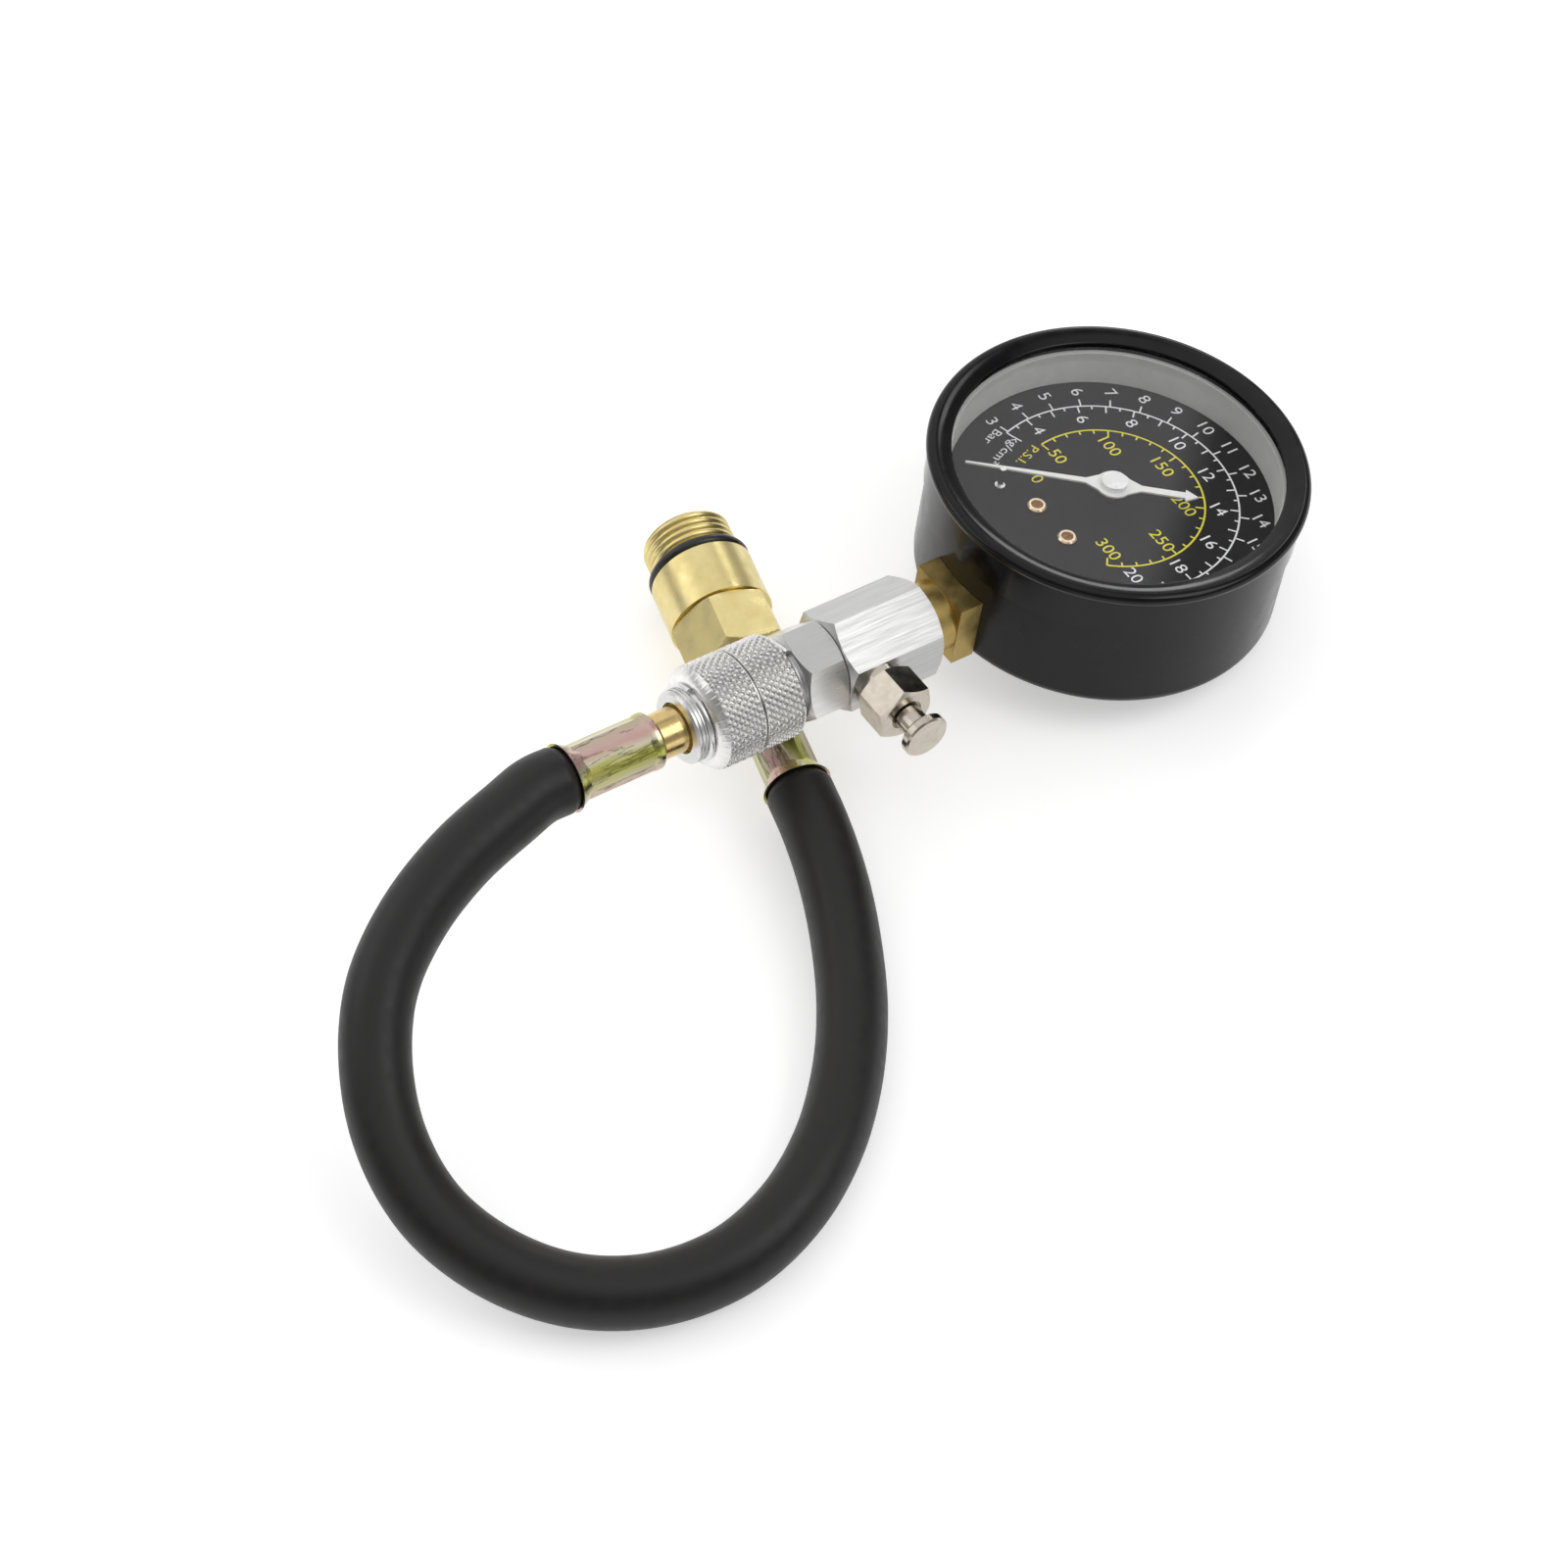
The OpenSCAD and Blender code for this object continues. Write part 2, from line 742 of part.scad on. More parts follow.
module sector_gear() {
    half = half_tooth(sector_teeth, sector_r);
    hub = 2.2;
    rim_w = 2.4;
    spoke = 7;
    from = mesh_turn - (sector_cut - 2) * sector_pitch;
    to = mesh_turn + sector_pitch;
    teeth = [for (k = [0:sector_cut - 1])
        each tooth(from + k * sector_pitch, sector_r, half, sector_r - tooth_root, sector_r + sector_tip)];
    color("#c8a24a")
        gauge_frame()
            translate([0, 0, sector_z]) {
                translate(pivot_at)
                    linear_extrude(sector_t)
                        difference() {
                            union() {
                                polygon(concat([[0, 0]], teeth));
                                circle(r = hub);
                            }
                            intersection() {
                                difference() {
                                    circle(r = sector_r - rim_w);
                                    circle(r = hub + 1.2);
                                }
                                polygon([[0, 0], polar(sector_r, from + spoke), polar(sector_r, to - spoke)]);
                            }
                            circle(r = arbor_r + slip);
                        }
                linear_extrude(sector_t)
                    difference() {
                        eye_bar(pivot_at, tail_at, link_eye, link_w);
                        translate(pivot_at)
                            circle(r = hub - slip);
                    }
                translate([tail_at[0], tail_at[1], 0])
                    rod(tail_pin, 0, sector_t + air + link_t + air);
            }
}

module sector_arbor() {
    color("#b9bcc0")
        gauge_frame()
            translate([pivot_at[0], pivot_at[1], 0]) {
                rod(pivot_r, block_top + run, dial_under - run);
                rod(arbor_r, lower_top + run, upper_under - run);
            }
}

module link() {
    color("#c8a24a")
        gauge_frame()
            translate([0, 0, link_z])
                linear_extrude(link_t)
                    difference() {
                        eye_bar(tip_at, tail_at, link_eye, link_w);
                        translate(tip_at)
                            circle(r = link_pin + slip);
                        translate(tail_at)
                            circle(r = tail_pin + tail_play);
                    }
}

module tube_tip() {
    color("#b98a3c")
        gauge_frame() {
            translate([0, 0, tube_z])
                rotate(tube_end - tip_span)
                    rotate_extrude(angle = tip_span - 0.1)
                        translate([tube_r, 0])
                            oval(tube_w + 2 * tip_wall, tube_h + 2 * tip_wall);
            translate([tip_at[0], tip_at[1], 0]) {
                rod(link_eye, tube_z, link_z - air / 2);
                rod(link_pin, link_z - air, link_z + link_t + air);
            }
        }
}

module bourdon_tube() {
    color("#c39a55")
        gauge_frame()
            difference() {
                translate([0, 0, tube_z])
                    rotate(tube_end)
                        rotate_extrude(angle = 540 - 6 - tube_end)
                            translate([tube_r, 0])
                                difference() {
                                    oval(tube_w, tube_h);
                                    oval(tube_w - 2 * tube_wall, tube_h - 2 * tube_wall);
                                }
                translate([-case_r, -block_w / 2, 0])
                    cube([case_r - block_in, block_w, block_top + over]);
            }
}

module lower_plate() {
    color("#c8a24a")
        gauge_frame()
            translate([0, 0, block_top])
                linear_extrude(plate_t)
                    difference() {
                        plate_outline();
                        circle(r = pivot_r + slip);
                        translate(pivot_at)
                            circle(r = pivot_r + slip);
                        for (p = movement_screw_at)
                            translate(p)
                                circle(r = screw_r + slip);
                    }
}

module plate_outline() {
    difference() {
        intersection() {
            translate([-plate_shift, 0])
                circle(r = plate_r);
            translate([-plate_shift - plate_r, -plate_flat])
                square([2 * plate_r, 2 * plate_flat]);
        }
        for (p = pillar_at)
            translate(p)
                circle(r = tenon_r + slip);
    }
}

module upper_plate() {
    stud_r = 0.5;
    color("#c8a24a")
        gauge_frame() {
            translate([0, 0, upper_under])
                linear_extrude(plate_t)
                    difference() {
                        plate_outline();
                        circle(r = arbor_r + slip);
                        translate(pivot_at)
                            circle(r = pivot_r + slip);
                        for (side = [-1, 1])
                            translate([-dial_screw_down, side * dial_screw_side])
                                circle(r = screw_r + slip);
                    }
            translate([hair_out + hair_thick + stud_r + slip, 0, 0])
                rod(stud_r, hair_z, upper_under);
        }
}

module plate_pillars() {
    color("#b9bcc0")
        gauge_frame()
            for (p = pillar_at)
                translate([p[0], p[1], 0]) {
                    rod(tenon_r, block_top + slip, dial_under - slip);
                    rod(pillar_r, lower_top, upper_under);
                }
}

module movement_screws() {
    head_r = 1.7;
    head_h = 0.8;
    color("#b9bcc0")
        gauge_frame()
            for (p = movement_screw_at)
                translate([p[0], p[1], 0]) {
                    rod(screw_r, block_top - screw_deep, lower_top);
                    rod(head_r, lower_top, lower_top + head_h);
                }
}

module gauge_socket() {
    neck = 4.4;
    socket_neck = square_w / 2 - 0.1;
    color("#8a6a33")
        difference() {
            union() {
                stem_frame() {
                    difference() {
                        translate([-square_w / 2, -square_w / 2, case_r - 4])
                            cube([square_w, square_w, square_len + 4 - neck]);
                        translate([-stem_z, 0, 0])
                            rotate([0, 90, 0])
                                cylinder(r = case_r + slip, h = 2 * gauge_h);
                    }
                    rod(wall_neck, block_out - over, case_r + over);
                    rod(socket_neck, s_valve - neck - over, s_valve);
                    rod(pipe_r, s_valve - over, s_valve + pipe_len);
                }
                gauge_frame()
                    translate([-block_out, -block_w / 2, case_back])
                        cube([block_out - block_in, block_w, block_h]);
            }
            stem_frame()
                rod(gauge_bore, tube_r - 1, s_valve + pipe_len + over);
            gauge_frame()
                translate([-tube_r + 0.6, 0, tube_z])
                    rotate([-90, 0, 0])
                        rod(tube_w / 2 - tube_wall, 0, block_w);
            gauge_frame() {
                for (x = case_screw_at)
                    translate([x, 0, 0])
                        case_screw(slip);
                for (p = movement_screw_at)
                    translate([p[0], p[1], 0])
                        rod(screw_r + slip, block_top - screw_deep - slip, block_top + over);
            }
        }
}

// A flush screw through the case back, grown by a clearance where it cuts its hole
module case_screw(grow) {
    head = 1.9;
    rotate_extrude()
        polygon([[0, -grow], [head + 2 * grow, -grow], [screw_r + grow, case_back - 0.1],
            [screw_r + grow, case_back + screw_deep + grow], [0, case_back + screw_deep + grow]]);
}

module case_screws() {
    slot_w = 0.5;
    slot_deep = 0.4;
    slot_len = 6;
    color("#9a9c9e")
        gauge_frame()
            for (x = case_screw_at)
                translate([x, 0, 0])
                    difference() {
                        case_screw(0);
                        translate([-slot_len / 2, -slot_w / 2, -over])
                            cube([slot_len, slot_w, over + slot_deep]);
                    }
}

module valve_body() {
    color("#d3d5d6")
        difference() {
            stem_frame()
                difference() {
                    union() {
                        hex_bar(valve_af, s_valve, s_coupler);
                        rod(pipe_r, s_coupler - over, s_coupler + pipe_len);
                    }
                    rod(pipe_r + run, s_valve - over, s_valve + pipe_len + 2 * run);
                    rod(gas_r, s_valve, s_coupler + pipe_len + over);
                }
            relief_frame() {
                rod(relief_stub + run, d_stub - run, d_flat + over);
                rod(chamber_r, 0, d_flat);
            }
        }
}

module relief_housing() {
    foot_r = relief_af / 2 - 0.4;
    color("#bdb6a9")
        relief_frame()
            difference() {
                union() {
                    rod(relief_stub, d_stub, d_flat + over);
                    rod(foot_r, d_flat, d_hex);
                    rotate(relief_turn)
                        hex_bar(relief_af, d_hex, d_face);
                }
                rod(relief_seat, d_stub - over, d_face);
                rod(relief_room, d_room, d_guide);
                rod(button_r + run, d_guide - over, d_face + over);
                rod(relief_room, d_face - 0.8, d_face + over);
            }
}

module relief_button() {
    edge = 0.35;
    color("#c6beb2")
        relief_frame() {
            rod(disc_r, d_stub - 1.8 - disc_t + 0.8, d_stub - 1);
            rod(tail_r, d_stub - 1.2, d_guide - flange_t);
            rod(flange_r, d_guide - flange_t - air, d_guide - air);
            rod(button_r, d_guide - air - over, d_head + over);
            rotate_extrude()
                polygon([[0, d_head], [head_r - edge, d_head], [head_r, d_head + edge],
                    [head_r, d_head + head_t - edge], [head_r - edge, d_head + head_t],
                    [0, d_head + head_t]]);
        }
}

module relief_spring() {
    color("#a8aaac")
        relief_frame()
            coil(relief_coil, relief_wire, d_room, d_guide - air - flange_t - slip, 5);
}

module relief_seal() {
    color("#202022")
        relief_frame()
            ring(tail_r + slip, disc_r, d_stub - 1, d_stub - slip);
}

module coupler_body() {
    groove_deep = 0.3;
    groove_w = 0.5;
    color("#cfd1d2")
        stem_frame()
            difference() {
                union() {
                    rotate(coupler_turn)
                        hex_bar(coupler_af, s_coupler, s_barrel);
                    rotate_extrude()
                        polygon([[0, s_barrel - over], [barrel_r, s_barrel - over], [barrel_r, s_nose - 0.4],
                            [barrel_r - 0.4, s_nose], [0, s_nose]]);
                }
                rod(pipe_r + run, s_coupler - over, s_coupler + pipe_len + 2 * run);
                rod(gas_r, s_coupler, s_nose);
                rod(seal_bore, s_pocket, s_nose);
                rod(plug_bore, s_seat, s_nose + over);
                rotate_extrude()
                    translate([seal_bore + coupler_cord - slip, s_groove])
                        square([2 * coupler_cord + 2 * slip, 2 * coupler_cord + 2 * slip], center = true);
                rotate_extrude()
                    translate([barrel_r, s_snap])
                        circle(r = snap_wire + slip);
                for (s = [s_snap + 1.2, s_snap + 2])
                    ring(barrel_r - groove_deep, barrel_r + over, s - groove_w / 2, s + groove_w / 2);
                at_balls()
                    rod(ball_r + slip, 0, barrel_r + over);
            }
}

// Each locking ball's direction, with z outwards along it
module at_balls() {
    for (k = [0:ball_count - 1])
        translate([0, 0, s_ball])
            rotate([0, 0, (k + 0.5) * 360 / ball_count])
                rotate([0, 90, 0])
                    children();
}

module coupler_sleeve() {
    front_taper = 1.6;
    front_face = sleeve_r - 1.7;
    rear_edge = 0.4;
    seam_at = s_sleeve + sleeve_len * 0.48;
    seam_w = 0.5;
    seam_deep = 0.35;
    land = s_ball + 0.4;
    color("#c4c6c7")
        stem_frame()
            rotate_extrude()
                difference() {
                    polygon([[sleeve_bore, s_sleeve], [sleeve_r - rear_edge, s_sleeve],
                        [sleeve_r, s_sleeve + rear_edge], [sleeve_r, s_front - front_taper],
                        [front_face, s_front], [sleeve_bore, s_front]]);
                    translate([0, s_sleeve - over])
                        square([spring_room, land - lock_land - s_sleeve + over]);
                    translate([0, land])
                        square([barrel_r + ball_r, recess_len]);
                    translate([sleeve_r - seam_deep, seam_at - seam_w / 2])
                        square([over, seam_w]);
                }
}

module coupler_spring() {
    color("#7d8083")
        stem_frame()
            coil(coupler_coil, coupler_wire, s_barrel, s_ball + 0.4 - lock_land, 4);
}

module locking_balls() {
    color("#b4b7ba")
        stem_frame()
            at_balls()
                translate([0, 0, ball_in])
                    sphere(r = ball_r);
}

module snap_ring() {
    gap = 24;
    color("#2b2c2e")
        stem_frame()
            translate([0, 0, s_snap])
                rotate(gap / 2)
                    rotate_extrude(angle = 360 - gap)
                        translate([barrel_r, 0])
                            circle(r = snap_wire, $fn = 24);
}

module coupler_seal() {
    color("#202022")
        stem_frame()
            translate([0, 0, s_groove])
                rotate_extrude()
                    translate([seal_bore + coupler_cord - slip, 0])
                        circle(r = coupler_cord, $fn = 24);
}

module hose_plug() {
    ball_run = ball_r + 0.1;
    color("#cfa648")
        stem_frame()
            rotate_extrude()
                difference() {
                    polygon([[0, s_plug], [plug_nose - 0.6, s_plug], [plug_nose, s_plug + 0.6],
                        [plug_nose, s_seat + run], [plug_r, s_seat + 1.4], [plug_r, s_ball - ball_run - 0.7],
                        [ball_groove, s_ball - ball_run], [ball_groove, s_ball + ball_run],
                        [plug_r, s_ball + ball_run + 0.7], [plug_r, s_nose - 1], [neck_r, s_nose - 0.5],
                        [neck_r, s_ferrule + plate_end], [0, s_ferrule + plate_end]]);
                    square([gas_r - 0.4, s_mouth]);
                }
}

// A crimped ferrule with its mouth at z = 0 and its closed end at z = ferrule_len
module ferrule() {
    inner = hose_end_r + slip;
    crimp_from = flare_len + 0.4;
    crimp_to = ferrule_len - 2.8;
    edge = 0.7;
    difference() {
        union() {
            rotate_extrude()
                polygon([[0, 0], [ferrule_mouth, 0], [ferrule_mouth - 0.3, 0.5],
                    [inner + ferrule_wall, crimp_from], [0, crimp_from]]);
            translate([0, 0, crimp_from - 0.6])
                rotate(22.5)
                    cylinder(r = ferrule_r, h = crimp_to - crimp_from + 1.2, $fn = 8);
            rotate_extrude()
                polygon([[0, crimp_to], [inner + ferrule_wall, crimp_to],
                    [ferrule_collar - 0.15, crimp_to + 0.8], [ferrule_collar, crimp_to + 1.3],
                    [ferrule_collar, ferrule_len - edge], [ferrule_collar - edge, ferrule_len],
                    [0, ferrule_len]]);
        }
        rod(inner, -over, ferrule_len - plate_end);
        rod(neck_r + slip, 0, ferrule_len + over);
        rotate_extrude()
            polygon([[0, -over], [ferrule_mouth - ferrule_wall, -over], [ferrule_mouth - ferrule_wall, 0],
                [inner, flare_len], [0, flare_len]]);
    }
}

module ferrule_plug_end() {
    color("#b7a779")
        stem_frame()
            translate([0, 0, s_mouth])
                rotate([180, 0, 0])
                    ferrule();
}

module ferrule_adapter_end() {
    color("#b7a779")
        adapter_frame()
            ferrule();
}

module hose() {
    // Distance of a ring from the closed end of its ferrule, and the hose's radius there
    held = [[0, hose_end_r], [hose_inside - flare_len, hose_end_r], [hose_inside - 0.5, hose_r - 0.9]];
    out = hose_inside + 1.5;
    s_end = s_ferrule + plate_end;
    first = [for (h = held) stem_point(s_end + h[0])];
    last = [for (h = back_to_front(held)) adapter_point(a_neck - h[0])];
    free = concat([stem_point(s_end + out), stem_point(s_end + out + 4)], hose_free,
        [adapter_point(a_neck - out - 6.5), adapter_point(a_neck - out)]);
    line = curve(free, hose_parts);
    radii = concat([for (h = held) h[1]], [for (p = line) hose_r], [for (h = back_to_front(held)) h[1]]);
    color("#1d1e20")
        sweep(concat(first, line, last), radii, hose_sides);
}

module adapter() {
    thread_bevel = 0.8;
    foot_r = adapter_af / 2 - 1.2;
    color("#cdb258")
        adapter_frame()
            difference() {
                union() {
                    rod(neck_r, a_neck, a_hex + over);
                    rotate_extrude()
                        polygon([[0, a_hex - 1.2], [neck_r, a_hex - 1.2], [foot_r, a_hex],
                            [foot_r, a_hex + over], [0, a_hex + over]]);
                    rotate(adapter_turn)
                        hex_bar(adapter_af, a_hex, a_body);
                    rod(adapter_r, a_body - over, a_seal);
                    rod(adapter_r - 2 * seal_cord - slip, a_seal - over, a_thread + over);
                    rotate_extrude()
                        polygon([[0, a_thread], [thread_r, a_thread], [thread_r, a_end - thread_bevel],
                            [thread_r - thread_bevel, a_end], [0, a_end]]);
                }
                rod(adapter_bore, a_neck - over, a_end);
                rod(core_r + slip, a_core - 3, a_end + over);
            }
}

module adapter_seal() {
    color("#1c1c1e")
        adapter_frame()
            translate([0, 0, a_seal + seal_cord])
                rotate_extrude()
                    translate([adapter_r - seal_cord, 0])
                        circle(r = seal_cord, $fn = 32);
}

module check_valve_body() {
    color("#c9a754")
        adapter_frame()
            difference() {
                rod(core_r, a_core, a_core + core_len);
                rod(core_bore, a_core - over, a_web);
                rod(core_seat, a_core, a_core + core_len);
                rod(core_bore, a_web + web_t, a_core + core_len + over);
            }
}

module check_valve_pin() {
    disc = a_web - pin_seal_t - slip;
    head = a_core + core_len - 1.8;
    color("#b9bcc0")
        adapter_frame() {
            rod(pin_disc, disc - pin_disc_t, disc);
            rod(pin_r, disc - over / 2, a_core + core_len + 0.8);
            rod(pin_head, head, head + 0.8);
        }
}

module check_valve_seal() {
    color("#202022")
        adapter_frame()
            ring(pin_r + slip, pin_disc, a_web - pin_seal_t - slip, a_web - slip);
}

module check_valve_spring() {
    color("#a8aaac")
        adapter_frame()
            coil(core_coil, core_wire, a_web + web_t, a_core + core_len - 1.8 - slip, 5);
}

case();
bezel();
lens();
lens_gasket();
spacer_ring();
dial();
dial_screws();
stop_pin();
needle();
needle_hub();
pinion_arbor();
hairspring();
sector_gear();
sector_arbor();
link();
tube_tip();
bourdon_tube();
lower_plate();
upper_plate();
plate_pillars();
movement_screws();
gauge_socket();
case_screws();
valve_body();
relief_housing();
relief_button();
relief_spring();
relief_seal();
coupler_body();
coupler_sleeve();
coupler_spring();
locking_balls();
snap_ring();
coupler_seal();
hose_plug();
ferrule_plug_end();
hose();
ferrule_adapter_end();
adapter();
adapter_seal();
check_valve_body();
check_valve_pin();
check_valve_seal();
check_valve_spring();
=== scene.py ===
"""Dresses the compression tester gauge: finishes, dial print, hose, knurl, thread, bezel and springs."""
from __future__ import annotations

import json
import logging
import math
from dataclasses import dataclass, field, replace
from enum import Enum
from typing import Any, Sequence

import bpy
import numpy as np
from mathutils import Matrix, Vector

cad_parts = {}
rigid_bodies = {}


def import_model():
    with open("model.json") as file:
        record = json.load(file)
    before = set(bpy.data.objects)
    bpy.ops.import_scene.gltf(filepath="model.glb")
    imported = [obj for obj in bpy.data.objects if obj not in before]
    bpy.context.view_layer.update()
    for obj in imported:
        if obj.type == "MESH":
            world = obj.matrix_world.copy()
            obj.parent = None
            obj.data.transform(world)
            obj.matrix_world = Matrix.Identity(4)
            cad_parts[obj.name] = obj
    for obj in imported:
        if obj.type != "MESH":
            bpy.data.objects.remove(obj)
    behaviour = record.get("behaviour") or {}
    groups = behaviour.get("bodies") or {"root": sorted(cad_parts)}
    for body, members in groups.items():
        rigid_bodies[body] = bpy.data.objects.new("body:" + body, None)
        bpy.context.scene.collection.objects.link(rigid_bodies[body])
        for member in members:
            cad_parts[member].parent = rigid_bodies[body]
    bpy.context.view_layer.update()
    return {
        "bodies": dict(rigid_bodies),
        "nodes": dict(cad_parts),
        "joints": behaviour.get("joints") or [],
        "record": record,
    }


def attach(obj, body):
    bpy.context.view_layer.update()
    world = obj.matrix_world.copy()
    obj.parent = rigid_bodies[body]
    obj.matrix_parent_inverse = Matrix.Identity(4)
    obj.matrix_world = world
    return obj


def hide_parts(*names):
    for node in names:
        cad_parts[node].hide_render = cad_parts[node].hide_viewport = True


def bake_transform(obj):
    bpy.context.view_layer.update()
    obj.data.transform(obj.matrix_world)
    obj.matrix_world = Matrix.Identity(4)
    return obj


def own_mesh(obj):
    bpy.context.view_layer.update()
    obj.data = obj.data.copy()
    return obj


MM: float = 0.001
LOG: logging.Logger = logging.getLogger("compression_gauge")
# Name of the point attribute that tells a finish where to paint shade into grooves.
GROOVE_SHADE: str = "groove"
RELIEF_STATION: float = 59.8 * MM

# Noise: where most values lie, the stretch that colours use and its fineness; and the least roughness.
NOISE_SPAN: tuple[float, float] = (0.3, 0.7)
COLOUR_SPAN: tuple[float, float] = (0.35, 0.72)
NOISE_DETAIL: float = 4.0
NOISE_ROUGHNESS: float = 0.6
SMOOTHEST: float = 0.02

# Places of the colour sockets on a Mix node, whose names stand there once for each kind of value.
MIX_FIRST: int = 6
MIX_SECOND: int = 7
MIX_RESULT: int = 2

Colour = tuple[float, float, float]
Place = tuple[float, float, float]
Feeds = dict[str | int, Any]
Material = bpy.types.Material
Piece = bpy.types.Object
Socket = bpy.types.NodeSocket


class Grain(Enum):
    """How many times longer the marks of a finish are along its frame's z than across it."""

    MOTTLED = 1.0
    STREAKED = 8.0
    BRUSHED = 30.0


class Ink(Enum):
    """Printing inks of the dial."""

    WHITE = "white"
    YELLOW = "yellow"


@dataclass(frozen=True)
class Axes:
    """A right-handed frame of the part, in the row frame.

    Args:
        origin: Where the frame stands, in metres.
        x: Direction of its first axis.
        y: Direction of its second axis.
        z: Direction of its third axis.
    """

    origin: np.ndarray
    x: np.ndarray
    y: np.ndarray
    z: np.ndarray

    @classmethod
    def along(cls, origin: Sequence[float], z: Sequence[float], x: Sequence[float]) -> Axes:
        """Makes a frame from its main direction and a direction that x leans to.

        Args:
            origin: Where the frame stands.
            z: The main direction.
            x: A direction near the first axis.

        Returns:
            The frame.
        """
        up = np.array(z, float) / np.linalg.norm(z)
        side = np.cross(up, np.array(x, float))
        side = side / np.linalg.norm(side)
        return cls(np.array(origin, float), np.cross(side, up), side, up)

    def rows(self) -> np.ndarray:
        """Gives the three directions as the rows of a matrix."""
        return np.stack([self.x, self.y, self.z])

    def place(self, points: np.ndarray) -> np.ndarray:
        """Carries points of this frame, as (..., 3), into the row frame."""
        return self.origin + points @ self.rows()

    def on_axis(self, stations: np.ndarray | float) -> np.ndarray:
        """Gives the places at stations along z, in the row frame."""
        return self.place(np.multiply.outer(stations, (0.0, 0.0, 1.0)))


@dataclass(frozen=True)
class Graph:
    """A node tree, with short ways to add nodes and to feed them."""

    tree: bpy.types.NodeTree

    def feed(self, node: bpy.types.Node, feeds: Feeds) -> None:
        """Links the inputs that take a socket, and sets those that take a constant.

        Args:
            node: The node.
            feeds: Socket or constant for each input.
        """
        for key, value in feeds.items():
            if isinstance(value, Socket):
                self.tree.links.new(value, node.inputs[key])
            else:
                node.inputs[key].default_value = value

    def add(self, kind: str, feeds: Feeds | None = None, **settings: str) -> bpy.types.Node:
        """Adds a node.

        Args:
            kind: Its type, without the word that shader nodes begin with.
            feeds: Socket or constant for each input.
            settings: Its own settings, such as an operation.

        Returns:
            The node.
        """
        node = self.tree.nodes.new(f"ShaderNode{kind}")
        for name, value in settings.items():
            setattr(node, name, value)
        self.feed(node, feeds or {})
        return node

    def math(self, operation: str, *values: Socket | float) -> Socket:
        """Adds a sum of the given kind on the values, and gives its result."""
        return self.add("Math", dict(enumerate(values)), operation=operation).outputs["Value"]

    def ramp(self, value: Socket, stops: Sequence[tuple[float, Colour]]) -> Socket:
        """Runs a value through colours.

        Args:
            value: The value, 0 to 1.
            stops: Place and colour of each stop, in order.

        Returns:
            The colour.
        """
        node = self.add("ValToRGB", {"Fac": value})
        elements = node.color_ramp.elements
        for element, (place, shade) in zip((elements[0], elements[1]), (stops[0], stops[-1])):
            element.position, element.color = place, (*shade, 1.0)
        for place, shade in stops[1:-1]:
            elements.new(place).color = (*shade, 1.0)
        return node.outputs["Color"]

    def grey_ramp(self, value: Socket, stops: Sequence[tuple[float, float]]) -> Socket:
        """Runs a value through greys, each given by its place and brightness."""
        return self.ramp(value, [(place, (shade,) * 3) for place, shade in stops])

    def mix(self, factor: Socket | float, first: Socket, second: Any, blend: str = "MIX") -> Socket:
        """Mixes two colours, and gives the result."""
        feeds = {"Factor": factor, MIX_FIRST: first, MIX_SECOND: second}
        return self.add("Mix", feeds, data_type="RGBA", blend_type=blend).outputs[MIX_RESULT]


def new_material(name: str) -> tuple[Material, Graph, bpy.types.Node]:
    """Makes a material.

    Args:
        name: What it is called.

    Returns:
        The material, its graph and its main shader.
    """
    material = bpy.data.materials.new(name)
    material.use_nodes = True
    return material, Graph(material.node_tree), material.node_tree.nodes["Principled BSDF"]


@dataclass(frozen=True)
class Pattern:
    """What a finish reads at each point.

    Args:
        place: The point in the finish's frame.
        noise: The noise there.
        value: What colour and roughness follow.
    """

    place: Socket
    noise: Socket
    value: Socket


